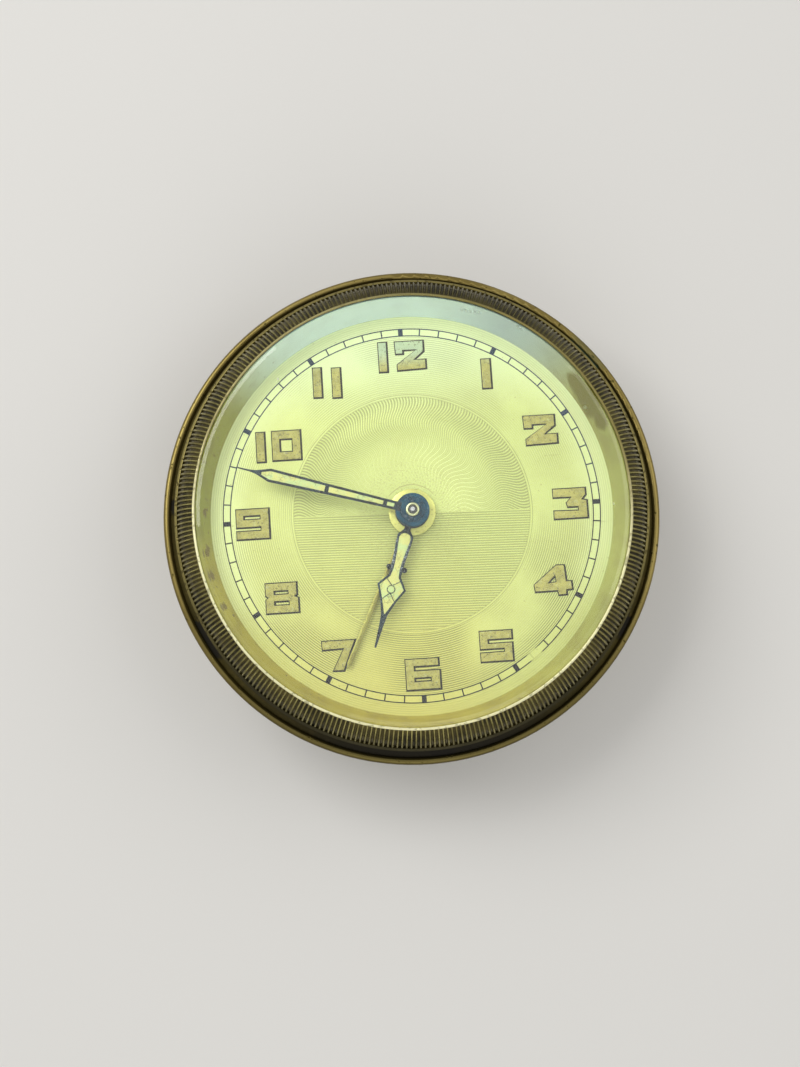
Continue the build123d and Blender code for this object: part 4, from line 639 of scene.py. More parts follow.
@dataclass(frozen=True)
class CaseBrass(Finish):
    """Aged brass of the drum and its rolled lip, black in the groove and green at one place, with painted
    shade toward 6 o'clock.
    """

    name: str = "case_brass"
    metallic: float = 0.85
    roughness: Point = (0.3, 0.3)
    clean: Paint = paint(122, 108, 58)
    aged: Paint = paint(98, 84, 42)
    # painted shade colour, laid toward 6 o'clock
    painted_shade: Paint = paint(58, 54, 26)
    groove: Paint = paint(70, 62, 24)
    black: Paint = paint(14, 11, 6)
    green: Paint = paint(40, 74, 62)
    rubbed: Paint = paint(158, 142, 84)
    tarnish: Grain = Grain(0.28, 0.5, 0.3)
    tarnish_share: float = 0.75
    streak: tuple = (0.05, 0.05, 5.0)
    streak_step: Point = (0.4, 0.68)
    streak_share: float = 0.45
    brush: Point = (0.25, 0.004)
    brush_share: float = 0.25
    painted_shade_below: Point = (6.0, 30.0)
    painted_shade_share: float = 0.6
    nicks: Grain = Grain(1.6, 0.68, 0.03)
    nick_depth: float = -0.02
    groove_band: tuple = (31.3, 34.02, 0.12)
    groove_floor: Point = (19.52, 19.62)
    groove_rubs: Grain = Grain(0.9, 0.6, 0.1)
    groove_rub_share: float = 0.5
    soot: Grain = Grain(0.22, 0.52, 0.1)
    soot_share: float = 0.25
    # painted shade in the groove toward 6 o'clock
    groove_painted_shade_below: Point = (16.0, 31.0)
    groove_painted_shade_share: float = 0.55
    black_spots: tuple = (
        (-30.2, -15.0, 20.4, 2.6), (-29.0, -17.4, 20.2, 2.0), (28.6, -17.6, 20.4, 2.2),
        (2.0, -33.6, 20.2, 2.4), (17.0, 29.2, 20.2, 3.2), (-33.7, 3.0, 20.2, 1.4),
    )
    # painted shadow: the groove turns black near 6 o'clock
    groove_painted_shadow_below: Point = (27.0, 33.0)
    groove_painted_shadow_share: float = 0.85
    black_share: float = 0.92
    green_spots: tuple = ((27.2, 20.8, 20.0, 2.3), (25.6, 22.9, 20.2, 1.7))
    green_rag: float = 2.4
    green_outside: float = 0.25
    green_share: float = 0.8
    groove_dulls: float = 0.35
    metal_lost: float = 0.5
    gloss: float = 0.25

    def coat(self, bench: Bench) -> None:
        """Lays the brass, its groove with its painted shadow toward 6 o'clock, and the black and green
        places.

        Args:
            bench: the material being made.
        """
        wire, place = bench.wire, bench.place
        lines = bench.brushing(*self.brush)
        nicks = bench.specks(self.nicks)
        metal = wire.blend(nicks, self.open_brass(bench, lines["Shade"]), self.groove)
        deep = wire.times(
            wire.band(place["Radius"], *self.groove_band), wire.rise(place["Height"], *self.groove_floor)
        )
        colour = wire.blend(deep, metal, self.groove_colour(bench))
        # painted shadow: the groove turns black toward 6 o'clock, joined with the real black patches
        black = wire.times(bench.below(*self.groove_painted_shadow_below), self.groove_painted_shadow_share)
        black = wire.times(wire.most(bench.patches(self.black_spots), black), deep)
        colour = wire.lay(colour, self.black, black, self.black_share)
        green = bench.patches(self.green_spots, self.green_rag)
        green = wire.times(green, wire.most(deep, self.green_outside))
        bench.colour(wire.lay(colour, self.green, green, self.green_share))
        dull = wire.most(wire.times(deep, self.groove_dulls), wire.most(black, green))
        bench.plain("Specular IOR Level", self.gloss)
        bench.metal(dull, self.metallic, self.metal_lost)
        bench.rough(dull, *self.roughness)
        bench.relief(wire.plus(lines["Height"], wire.times(nicks, self.nick_depth)))

    def open_brass(self, bench: Bench, lines: Socket) -> Socket:
        """The colour outside the groove, with painted shade toward 6 o'clock.

        Args:
            bench: the material being made.
            lines: shade of the turned lines.

        Returns:
            The colour.
        """
        wire = bench.wire
        streaks = wire.noise(wire.mapped(bench.place["Place"], self.streak), 1.0, 3.0)
        worn = wire.rise(streaks, *self.streak_step)
        metal = wire.lay(self.clean, self.aged, bench.blotches(self.tarnish), self.tarnish_share)
        metal = wire.lay(metal, self.rubbed, worn, self.streak_share)
        metal = wire.lay(metal, self.aged, lines, self.brush_share)
        # painted shade: the brass darkens toward 6 o'clock
        return wire.lay(metal, self.painted_shade, bench.below(*self.painted_shade_below), self.painted_shade_share)

    def groove_colour(self, bench: Bench) -> Socket:
        """The colour in the groove: olive, rubbed in places, sooty in blotches and darkened toward 6 o'clock
        as painted shade.

        Args:
            bench: the material being made.

        Returns:
            The colour.
        """
        wire = bench.wire
        olive = wire.lay(self.groove, self.aged, bench.blotches(self.groove_rubs), self.groove_rub_share)
        soot = wire.times(bench.blotches(self.soot), self.soot_share)
        # painted shade: the groove darkens toward 6 o'clock
        low = wire.times(bench.below(*self.groove_painted_shade_below), self.groove_painted_shade_share)
        return wire.blend(wire.most(soot, low), olive, self.black)


@dataclass(frozen=True)
class BezelBrass(Finish):
    """Dark olive brass of the bezel, with a painted highlight on the lip above the flutes and a bright edge
    below them.
    """

    name: str = "bezel_brass"
    metallic: float = 0.85
    roughness: Point = (0.28, 0.2)
    dark: Paint = paint(78, 70, 36)
    black: Paint = paint(46, 42, 24)
    bright: Paint = paint(118, 108, 62)
    # painted highlight colour of the lip
    lip: Paint = paint(212, 208, 164)
    soot: Grain = Grain(0.25, 0.5, 0.12)
    nicks: Grain = Grain(1.9, 0.6, 0.05)
    nick_depth: float = -0.02
    edge_nick_share: float = 0.85
    rim_nick_share: float = 0.5
    foot_edge: Point = (22.8, 22.86)
    # painted shade at the foot edge toward 6 o'clock
    foot_painted_shade_below: Point = (2.0, 24.0)
    lip_inside: Point = (30.06, 30.14)
    lip_height: Point = (25.83, 25.93)
    # where the lip's painted highlight is weaker: about half past one and toward 12 o'clock
    lip_painted_highlight_gap_about: tuple = (0.13, 0.06, 0.2)
    lip_painted_highlight_gap_above: Point = (-4.0, 14.0)
    lip_painted_highlight_gap_share: float = 0.85

    def coat(self, bench: Bench) -> None:
        """Lays the slope, the worn edge at its foot with painted shade toward 6 o'clock, and the painted
        highlight on the lip.

        Args:
            bench: the material being made.
        """
        wire, place = bench.wire, bench.place
        sooty = bench.blotches(self.soot)
        colour = wire.blend(sooty, self.dark, self.black)
        nicks = bench.specks(self.nicks)
        worn = wire.lay(self.bright, self.dark, nicks, self.edge_nick_share)
        # painted shade: the edge at the foot turns dark toward 6 o'clock
        worn = wire.blend(bench.below(*self.foot_painted_shade_below), worn, self.black)
        colour = wire.blend(wire.fall(place["Height"], *self.foot_edge), colour, worn)
        # painted highlight: the top of the lip is painted pale, less so toward 12 o'clock and at about half
        # past one
        top = wire.fall(place["Radius"], *self.lip_inside)
        top = wire.times(top, wire.rise(place["Height"], *self.lip_height))
        rim = wire.lay(self.lip, self.dark, nicks, self.rim_nick_share)
        rim = wire.blend(bench.around(*self.lip_painted_highlight_gap_about), rim, self.bright)
        rim = wire.lay(rim, self.bright, bench.above(*self.lip_painted_highlight_gap_above), self.lip_painted_highlight_gap_share)
        bench.colour(wire.blend(top, colour, rim))
        bench.rough(sooty, *self.roughness)
        bench.relief(wire.times(nicks, self.nick_depth))


@dataclass(frozen=True)
class FluteRidge(Finish):
    """Worn tops of the flutes: rubbed bright at the outer end, dark at the top of the clock."""

    name: str = "flute_ridge"
    metallic: float = 0.9
    roughness: Point = (0.24, 0.16)
    worn: Paint = paint(150, 142, 88)
    dull: Paint = paint(112, 104, 60)
    dark: Paint = paint(56, 52, 28)
    wear: Grain = Grain(0.45, 0.5, 0.14)
    pits: Grain = Grain(3.0, 0.62, 0.08)
    pit_depth: float = -0.01
    foot: Point = (23.05, 23.3)
    dark_about: tuple = (0.035, 0.03, 0.16)
    dark_share: float = 0.72

    def coat(self, bench: Bench) -> None:
        """Lays the wear, the bright foot and the dark top.

        Args:
            bench: the material being made.
        """
        wire = bench.wire
        patchy = bench.blotches(self.wear)
        colour = wire.blend(patchy, self.worn, self.dull)
        colour = wire.blend(wire.fall(bench.place["Height"], *self.foot), colour, self.worn)
        bench.colour(wire.lay(colour, self.dark, bench.around(*self.dark_about), self.dark_share))
        bench.rough(patchy, *self.roughness)
        bench.relief(wire.times(bench.specks(self.pits), self.pit_depth))


@dataclass(frozen=True)
class ConeBrass(Finish):
    """Satin brass of the cone around the dial, stained brown in places, with a painted reflection of the sky
    toward 12 o'clock.
    """

    name: str = "cone_brass"
    metallic: float = 0.6
    roughness: Point = (0.36, 0.14)
    ochre: Paint = paint(193, 177, 62)
    olive: Paint = paint(164, 162, 92)
    moss: Paint = paint(160, 158, 56)
    # painted reflection of the sky: pale blue, and grey toward 3 o'clock
    pale: Paint = paint(230, 250, 255)
    grey: Paint = paint(180, 196, 206)
    stain: Paint = paint(112, 82, 38)
    smear: Paint = paint(114, 104, 8)
    lower_left: Point = (-14.0, 22.0)
    lower_left_tilt: float = -0.8
    ochre_below: Point = (-1.0, 9.0)
    olive_beside: Point = (-20.0, 10.0)
    painted_sky_reflection_above: Point = (14.0, 26.0)
    painted_reflection_grey_beside: Point = (2.0, 16.0)
    clouds: Grain = Grain(0.3, 0.55, 0.12)
    cloud_share: float = 0.25
    cloud_under_painted_reflection: float = -0.8
    spots: tuple = (
        (-28.9, -4.0, 22.0, 1.0), (-28.4, -7.6, 22.4, 0.9), (-28.9, 1.6, 21.8, 0.7),
        (-26.4, -11.6, 22.6, 0.8),
    )
    spot_rag: float = 2.2
    spot_share: float = 0.8
    smears: tuple = ((25.6, 14.2, 22.8, 3.4), (27.0, 11.0, 22.8, 1.8), (24.2, 16.6, 22.8, 2.0))
    smear_rag: float = 0.7
    smear_share: float = 0.95
    freckles: Grain = Grain(1.3, 0.7, 0.04)
    painted_reflection_metal_above: Point = (6.0, 24.0)
    painted_reflection_metal_share: float = 0.35
    brush: Point = (0.12, 0.003)

    def coat(self, bench: Bench) -> None:
        """Lays the brass by its side of the dial, the painted reflection toward 12 o'clock, then clouds,
        smear and spots.

        Args:
            bench: the material being made.
        """
        wire, place = bench.wire, bench.place
        tilted = wire.less(wire.times(place["Up"], self.lower_left_tilt), place["Across"])
        low_left = wire.rise(tilted, *self.lower_left)
        side = wire.blend(bench.beside(*self.olive_beside), self.moss, self.olive)
        colour = wire.blend(wire.times(low_left, bench.below(*self.ochre_below)), side, self.ochre)
        # painted reflection: pale blue toward 12 o'clock, greyer toward 3 o'clock
        above = bench.above(*self.painted_sky_reflection_above)
        colour = wire.blend(above, colour, wire.blend(bench.beside(*self.painted_reflection_grey_beside), self.pale, self.grey))
        cloud = wire.times(bench.blotches(self.clouds), wire.spread(above, self.cloud_under_painted_reflection, 1.0))
        colour = wire.lay(colour, self.stain, cloud, self.cloud_share)
        colour = wire.lay(colour, self.smear, bench.patches(self.smears, self.smear_rag), self.smear_share)
        freckles = wire.times(bench.specks(self.freckles), low_left)
        brown = wire.most(bench.patches(self.spots, self.spot_rag), freckles)
        bench.colour(wire.lay(colour, self.stain, brown, self.spot_share))
        # less metal toward 12 o'clock, so that the painted reflection shows
        bench.metal(bench.above(*self.painted_reflection_metal_above), self.metallic, self.painted_reflection_metal_share)
        lines = bench.brushing(*self.brush)
        bench.rough(lines["Shade"], *self.roughness)
        bench.relief(lines["Height"])


@dataclass(frozen=True)
class DialGilt(Finish):
    """Pale gilt dial with its engraving, its painted reflection, painted light and painted glints.

    Fine rings lie outside the centre circle. Inside it, straight lines fill the lower half and waving
    rays the upper half.
    """

    name: str = "dial_gilt"
    metallic: float = 0.45
    roughness: Point = (0.36, 0.12)
    middle: Paint = paint(204, 212, 132)
    lower: Paint = paint(207, 201, 108)
    left: Paint = paint(204, 208, 128)
    line: Paint = paint(92, 90, 28)
    # painted reflection colour at the rim and over the upper dial
    rim_painted_reflection: Paint = paint(216, 232, 190)
    # painted light colour of the outer zone
    painted_light: Paint = paint(230, 240, 176)
    # painted highlight colour of the glints
    glint: Paint = paint(240, 246, 176)
    stain: Paint = paint(150, 140, 84)
    lower_below: Point = (-4.0, 26.0)
    lower_beside: Point = (-2.0, 18.0)
    lower_beside_share: float = -0.75
    left_beside: Point = (2.0, 26.0)
    left_share: float = 0.5
    clouds: Grain = Grain(0.16, 0.55, 0.15)
    cloud_share: float = 0.14
    painted_reflection_radius: Point = (26.6, 28.4)
    painted_reflection_radius_above: Point = (2.0, 20.0)
    painted_reflection_above: Point = (12.0, 26.0)
    painted_reflection_share: float = 0.8
    painted_light_radius: Point = (22.0, 27.5)
    painted_light_above: Point = (-18.0, -4.0)
    painted_light_share: float = 0.7
    specks: Grain = Grain(2.2, 0.735, 0.02)
    speck_share: float = 0.55
    scratches: Grain = Grain(1.1, 0.74, 0.02)
    scratch_share: float = 0.3
    rubbed_ring: tuple = (3.98, 4.06, 0.035)
    rubbed_above: Point = (2.2, 3.0)
    rubbed_share: float = 0.9
    dust: Grain = Grain(4.5, 0.6, 0.05)
    dust_ring: tuple = (3.0, 7.5, 1.2)
    dust_share: float = 0.4
    glint_share: float = 0.7
    glint_crest: Point = (0.82, 0.96)
    glint_beside: Point = (-1.0, 4.0)
    glint_sides: Point = (0.7, 0.25)
    glint_ring: tuple = (4.6, 10.0, 1.8)
    rays_per_glint: int = 3
    circle: float = 16.75
    circle_edge: Point = (16.55, 16.65)
    circle_rims: tuple = ((16.55, 16.71, 0.35), (16.89, 17.01, 0.6))
    rim_soft: float = 0.03
    rim_dark: float = 0.8
    track_inside: float = 25.4
    track_outside: float = 26.62
    ring_pitch: float = 0.3
    ring_cloud: tuple = (0.09, 1.0)
    ring_cloud_step: Point = (0.32, 0.62)
    ring_below: Point = (0.0, 14.0)
    ring_dark: Point = (0.4, 0.4)
    edge_ring_dark: float = 0.2
    line_pitch: float = 0.336
    line_slope: float = 0.026
    line_narrow: float = 1.6
    centre_dark: float = 0.6
    halves: Point = (-0.05, 0.05)
    rays: float = 240.0
    ray_wave: float = 0.55
    ray_wave_length: float = 5.8
    ray_start: float = 5.0
    ring_depth: float = 0.5
    edge_ring_depth: float = 0.8
    depth: float = -0.02

    def coat(self, bench: Bench) -> None:
        """Lays the gilding with its painted reflection and painted light, the engraving with its painted
        glints, and the marks of age.

        Args:
            bench: the material being made.
        """
        wire = bench.wire
        height, lined = self.engraving(bench)
        cloud = bench.blotches(self.clouds)
        colour = wire.blend(lined, self.gilding(bench, cloud), self.line)
        # painted highlight: glints on a few rays near the hub
        colour = wire.lay(colour, self.glint, self.painted_glint_rays(bench), self.glint_share)
        bench.colour(wire.blend(self.marks(bench), colour, self.stain))
        bench.rough(cloud, *self.roughness)
        bench.relief(height)

    def gilding(self, bench: Bench, cloud: Socket) -> Socket:
        """The colour of the gilding, by its place on the dial, with its painted reflection and painted light.

        Args:
            bench: the material being made.
            cloud: mask of the cloudy stain.

        Returns:
            The colour without lines and marks.
        """
        wire, place = bench.wire, bench.place
        right = wire.spread(bench.beside(*self.lower_beside), self.lower_beside_share, 1.0)
        colour = wire.blend(wire.times(bench.below(*self.lower_below), right), self.middle, self.lower)
        sideways = wire.rise(wire.times(place["Across"], -1.0), *self.left_beside)
        colour = wire.lay(colour, self.left, sideways, self.left_share)
        colour = wire.lay(colour, self.stain, cloud, self.cloud_share)
        # painted reflection: pale green-white at the rim toward 12 o'clock and over the upper dial
        glow = wire.times(wire.rise(place["Radius"], *self.painted_reflection_radius), bench.above(*self.painted_reflection_radius_above))
        glow = wire.most(glow, wire.times(bench.above(*self.painted_reflection_above), self.painted_reflection_share))
        colour = wire.lay(colour, self.rim_painted_reflection, glow, self.painted_reflection_share)
        # painted light: the outer zone is brightened against the cone's shadow, except toward 6 o'clock
        painted_light = wire.times(wire.rise(place["Radius"], *self.painted_light_radius), bench.above(*self.painted_light_above))
        return wire.lay(colour, self.painted_light, painted_light, self.painted_light_share)

    def marks(self, bench: Bench) -> Socket:
        """Specks, scratches, the rubbed arc above the hub, and dust around it.

        Args:
            bench: the material being made.

        Returns:
            How much each place is marked.
        """
        wire, radius = bench.wire, bench.place["Radius"]
        scratches = bench.mask(SharedEffect.SCRATCHES, self.scratches)
        rubbed = wire.times(wire.band(radius, *self.rubbed_ring), bench.above(*self.rubbed_above))
        dusty = wire.times(bench.specks(self.dust), wire.band(radius, *self.dust_ring))
        marks = wire.times(bench.specks(self.specks), self.speck_share)
        for mask, share in (
            (scratches, self.scratch_share), (rubbed, self.rubbed_share), (dusty, self.dust_share)
        ):
            marks = wire.most(marks, wire.times(mask, share))
        return marks

    def painted_glint_rays(self, bench: Bench) -> Socket:
        """The painted glints: a few bright rays near the hub, stronger toward 3 o'clock.

        Args:
            bench: the material being made.

        Returns:
            Their mask.
        """
        wire = bench.wire
        crest = wire.math("SINE", wire.times(self.waving(bench), self.rays / self.rays_per_glint))
        thin = wire.times(wire.rise(crest, *self.glint_crest), wire.rise(self.level(bench), *self.halves))
        side = wire.spread(bench.beside(*self.glint_beside), *self.glint_sides)
        return wire.times(wire.times(thin, side), wire.band(bench.place["Radius"], *self.glint_ring))

    def level(self, bench: Bench) -> Socket:
        """The height above the line that parts the centre, which is a little aslant."""
        return bench.wire.math("MULTIPLY_ADD", bench.place["Across"], self.line_slope, bench.place["Up"])

    def waving(self, bench: Bench) -> Socket:
        """The angle of a ray, which swings to and fro as the ray runs outwards.

        Args:
            bench: the material being made.

        Returns:
            The angle in radians.
        """
        wire, radius = bench.wire, bench.place["Radius"]
        swing = wire.math("SINE", wire.times(radius, FULL_TURN / self.ray_wave_length))
        swing = wire.over(wire.times(swing, self.ray_wave), wire.most(radius, 1.0))
        return wire.plus(wire.times(bench.place["Turn"], FULL_TURN), swing)

    def wave(self, wire: Wiring, value: Feed, pitch: float) -> Socket:
        """Narrow dark lines and wide light ones.

        Args:
            wire: the material's wiring.
            value: what they lie across, in millimetres.
            pitch: their distance.

        Returns:
            The lines, from 0 to 1.
        """
        turned = wire.math("SINE", wire.times(value, FULL_TURN / pitch))
        return wire.math("POWER", wire.spread(turned, 0.5, 0.5), self.line_narrow)

    def centre(self, bench: Bench) -> Socket:
        """The lines inside the centre circle: straight below and rays above.

        Args:
            bench: the material being made.

        Returns:
            The lines, from 0 to 1.
        """
        wire, radius = bench.wire, bench.place["Radius"]
        level = self.level(bench)
        rays = wire.spread(wire.math("SINE", wire.times(self.waving(bench), self.rays)), 0.5, 0.5)
        rays = wire.times(rays, wire.rise(radius, self.ray_start, self.circle - 1.0))
        upper = wire.rise(level, *self.halves)
        lines = wire.choose(upper, self.wave(wire, level, self.line_pitch), rays)
        return wire.times(lines, wire.fall(radius, *self.circle_edge))

    def engraving(self, bench: Bench) -> tuple[Socket, Socket]:
        """The engraved lines.

        Args:
            bench: the material being made.

        Returns:
            Their height in millimetres and how dark they are.
        """
        wire, radius = bench.wire, bench.place["Radius"]
        centre = self.centre(bench)
        between = wire.band(radius, self.circle + 0.25, self.track_inside - 0.1, 0.04)
        patchy = wire.rise(wire.noise(bench.place["Place"], *self.ring_cloud), *self.ring_cloud_step)
        rings = wire.times(wire.times(self.wave(wire, radius, self.ring_pitch), between), patchy)
        outside = wire.rise(radius, self.track_outside, self.track_outside + 0.1)
        edge_rings = wire.times(self.wave(wire, radius, self.ring_pitch), outside)
        rim = wire.most(*(
            wire.times(wire.band(radius, low, high, self.rim_soft), share)
            for low, high, share in self.circle_rims
        ))
        deep = wire.plus(centre, wire.times(rings, self.ring_depth))
        deep = wire.plus(deep, wire.times(edge_rings, self.edge_ring_depth))
        height = wire.times(wire.plus(deep, rim), self.depth)
        low_rings = wire.spread(bench.below(*self.ring_below), *self.ring_dark)
        dark = wire.plus(wire.times(centre, self.centre_dark), wire.times(rings, low_rings))
        dark = wire.plus(dark, wire.times(edge_rings, self.edge_ring_dark))
        return height, wire.math("MINIMUM", wire.plus(dark, wire.times(rim, self.rim_dark)), 1.0)


@dataclass(frozen=True)
class BlueBlackInk(Finish):
    """Ink of the minute track, faded at one worn place."""

    name: str = "track_ink"
    metallic: float = 0.0
    roughness: Point = (0.4, 0.3)
    ink: Paint = paint(6, 6, 2)
    faded: Paint = paint(186, 190, 112)
    speckled: Paint = paint(40, 46, 44)
    blue: Paint = paint(44, 72, 98)
    grain: Grain = Grain(5.0, 0.55, 0.1)
    grain_share: float = 0.35
    worn_spots: tuple = ((15.8, -20.8, 20.0, 1.2),)
    worn_rag: float = 1.6
    blue_above: Point = (-2.0, 8.0)
    blue_share: float = 0.55
    gloss: float = 0.15

    def coat(self, bench: Bench) -> None:
        """Lays the ink, its blue part, its grain and its worn place.

        Args:
            bench: the material being made.
        """
        wire = bench.wire
        bench.plain("Specular IOR Level", self.gloss)
        grain = bench.specks(self.grain)
        colour = wire.lay(self.ink, self.blue, bench.above(*self.blue_above), self.blue_share)
        colour = wire.lay(colour, self.speckled, grain, self.grain_share)
        bench.colour(wire.blend(bench.patches(self.worn_spots, self.worn_rag), colour, self.faded))
        bench.rough(grain, *self.roughness)


@dataclass(frozen=True)
class NumeralPaint(Finish):
    """Old luminous paint of the numerals: tan, cloudy and speckled, with a painted reflection of the sky on
    the numerals near 12 o'clock.
    """

    name: str = "numeral_paint"
    metallic: float = 0.0
    roughness: Point = (0.55, 0.4)
    tan: Paint = paint(180, 173, 90)
    grey: Paint = paint(158, 151, 80)
    speck: Paint = paint(74, 68, 40)
    pale: Paint = paint(204, 206, 150)
    # painted reflection of the sky on the numerals near 12 o'clock
    sky: Paint = paint(184, 214, 186)
    clouds: Grain = Grain(1.0, 0.5, 0.14)
    pale_clouds: Grain = Grain(1.7, 0.62, 0.06)
    specks: Grain = Grain(3.4, 0.64, 0.05)
    painted_sky_reflection_above: Point = (20.5, 23.5)
    share: float = 0.6
    crumbs: float = 5.0
    crumb_height: float = 0.03

    def coat(self, bench: Bench) -> None:
        """Lays the paint, its clouds, its specks and the painted reflection near 12 o'clock.

        Args:
            bench: the material being made.
        """
        wire = bench.wire
        colour = wire.blend(bench.blotches(self.clouds), self.tan, self.grey)
        colour = wire.lay(colour, self.pale, bench.blotches(self.pale_clouds), self.share)
        # painted reflection: the numerals near 12 o'clock turn pale sky-green
        colour = wire.lay(colour, self.sky, bench.above(*self.painted_sky_reflection_above), self.share)
        bench.colour(wire.lay(colour, self.speck, bench.specks(self.specks), self.share))
        crumbs = wire.noise(bench.place["Place"], self.crumbs, 3.0)
        bench.rough(crumbs, *self.roughness)
        bench.relief(wire.times(crumbs, self.crumb_height))


@dataclass(frozen=True)
class NumeralEdge(Finish):
    """Dark printed edge under each numeral."""

    name: str = "numeral_edge"
    metallic: float = 0.0
    roughness: Point = (0.45, 0.3)
    dark: Paint = paint(26, 24, 10)
    thin: Paint = paint(48, 44, 22)
    thinning: Grain = Grain(1.6, 0.56, 0.08)
    gloss: float = 0.2

    def coat(self, bench: Bench) -> None:
        """Lays the ink, thin in places.

        Args:
            bench: the material being made.
        """
        bench.plain("Specular IOR Level", self.gloss)
        thin = bench.blotches(self.thinning)
        bench.colour(bench.wire.blend(thin, self.dark, self.thin))
        bench.rough(thin, *self.roughness)


@dataclass(frozen=True)
class HandPaint(Finish):
    """Luminous paint in the hands: cream, crackled and a little green in places."""

    name: str = "hand_paint"
    metallic: float = 0.0
    roughness: Point = (0.5, 0.4)
    cream: Paint = paint(206, 204, 122)
    green: Paint = paint(190, 206, 138)
    crack: Paint = paint(112, 104, 60)
    clouds: Grain = Grain(0.5, 0.52, 0.1)
    crack_cells: float = 1.5
    crack_width: Point = (0.01, 0.07)
    crack_clouds: tuple = (0.7, 2.0)
    crack_cloud_step: Point = (0.42, 0.6)
    crack_share: float = 0.6
    crumbs: float = 6.0
    crumb_height: float = 0.03

    def coat(self, bench: Bench) -> None:
        """Lays the paint and its cracks.

        Args:
            bench: the material being made.
        """
        wire, place = bench.wire, bench.place["Place"]
        cells = wire.node("TexVoronoi", feature="DISTANCE_TO_EDGE")
        wire.feed(cells.inputs["Vector"], place)
        cells.inputs["Scale"].default_value = self.crack_cells
        crack = wire.fall(cells.outputs["Distance"], *self.crack_width)
        cracked = wire.rise(wire.noise(place, *self.crack_clouds), *self.crack_cloud_step)
        fine = wire.times(crack, cracked)
        colour = wire.blend(bench.blotches(self.clouds), self.cream, self.green)
        bench.colour(wire.lay(colour, self.crack, fine, self.crack_share))
        crumbs = wire.noise(place, self.crumbs, 3.0)
        bench.rough(crumbs, *self.roughness)
        bench.relief(wire.less(wire.times(crumbs, self.crumb_height), wire.times(fine, self.crumb_height)))


@dataclass(frozen=True)
class BluedSteel(Finish):
    """Heat-blued steel, rubbed to bare metal in specks."""

    name: str = "blue_steel"
    deep: Paint = paint(24, 32, 28)
    bright: Paint = paint(38, 54, 58)
    bare: Paint = paint(168, 174, 178)
    rubbed: Point = (0.0, 0.0)
    metallic: float = 0.75
    roughness: Point = (0.26, 0.14)
    tint: Grain = Grain(0.55, 0.5, 0.16)
    specks: Grain = Grain(4.0, 0.66, 0.04)
    speck_share: float = 0.35
    rub_specks: Grain = Grain(5.0, 0.56, 0.05)
    rub_soft: float = 0.6
    rub_share: float = 0.6
    unevenness: float = 0.01

    def coat(self, bench: Bench) -> None:
        """Lays the blue and the bare specks, with more of them in the rubbed zone.

        Args:
            bench: the material being made.
        """
        wire, place = bench.wire, bench.place
        tint = bench.blotches(self.tint)
        bare = wire.times(bench.specks(self.specks), self.speck_share)
        if self.rubbed[1] > 0:
            zone = wire.band(place["Radius"], *self.rubbed, self.rub_soft)
            many = wire.times(zone, bench.specks(self.rub_specks))
            bare = wire.most(bare, wire.times(many, self.rub_share))
        bench.colour(wire.blend(bare, wire.blend(tint, self.deep, self.bright), self.bare))
        bench.rough(tint, *self.roughness)
        bench.relief(wire.times(wire.noise(place["Place"], 3.0, 3.0), self.unevenness))


HUB_BLUE = BluedSteel("hub_blue", paint(3, 45, 60), paint(12, 78, 100))
HOUR_STEEL = BluedSteel("hour_hand_steel", rubbed=(4.5, 8.5))
KNOB_STEEL = BluedSteel("knob_steel", paint(12, 16, 14), paint(20, 28, 28))
WORN_STEEL = BluedSteel("worn_crossing", bare=paint(178, 178, 116), rubbed=(8.0, 11.7))


@dataclass(frozen=True)
class TurnedMetal(Finish):
    """Brushed or turned metal of one colour, a little tarnished."""

    name: str
    clean: Paint
    aged: Paint
    roughness: float = 0.3
    pitch: float = 0.16
    depth: float = 0.004
    tarnish: float = 0.35
    metallic: float = 0.9
    clouds: Grain = Grain(0.4, 0.52, 0.14)
    specks: Grain = Grain(2.0, 0.7, 0.04)
    speck_share: float = 0.5
    line_share: float = 0.12
    line_rough: float = 0.1

    def coat(self, bench: Bench) -> None:
        """Lays the metal, its tarnish and its turned lines.

        Args:
            bench: the material being made.
        """
        wire = bench.wire
        lines = bench.brushing(self.pitch, self.depth)
        dirt = wire.times(bench.blotches(self.clouds), self.tarnish)
        dirt = wire.most(dirt, wire.times(bench.specks(self.specks), self.speck_share))
        colour = wire.blend(dirt, self.clean, self.aged)
        bench.colour(wire.lay(colour, self.aged, lines["Shade"], self.line_share))
        bench.rough(lines["Shade"], self.roughness, self.line_rough)
        bench.relief(lines["Height"])


COLLET_BRASS = TurnedMetal("collet_brass", paint(222, 224, 176), paint(150, 144, 84), 0.26)


@dataclass(frozen=True)
class AlarmBrass(Finish):
    """Olive brass of the alarm hand, paler on its boss."""

    name: str = "alarm_brass"
    metallic: float = 0.8
    roughness: Point = (0.28, 0.12)
    blade: Paint = paint(150, 146, 74)
    boss: Paint = paint(214, 212, 122)
    aged: Paint = paint(112, 98, 40)
    boss_edge: Point = (3.3, 3.6)
    clouds: Grain = Grain(0.7, 0.55, 0.12)
    blade_share: float = 0.5
    boss_share: float = 0.2
    specks: Grain = Grain(3.0, 0.68, 0.04)
    speck_share: float = 0.6
    brush: Point = (0.1, 0.001)

    def coat(self, bench: Bench) -> None:
        """Lays the blade's brass, the boss and the specks.

        Args:
            bench: the material being made.
        """
        wire = bench.wire
        cloud = bench.blotches(self.clouds)
        blade = wire.lay(self.blade, self.aged, cloud, self.blade_share)
        boss = wire.lay(self.boss, self.aged, cloud, self.boss_share)
        colour = wire.blend(wire.fall(bench.place["Radius"], *self.boss_edge), blade, boss)
        bench.colour(wire.lay(colour, self.aged, bench.specks(self.specks), self.speck_share))
        lines = bench.brushing(*self.brush)
        bench.rough(lines["Shade"], *self.roughness)
        bench.relief(lines["Height"])


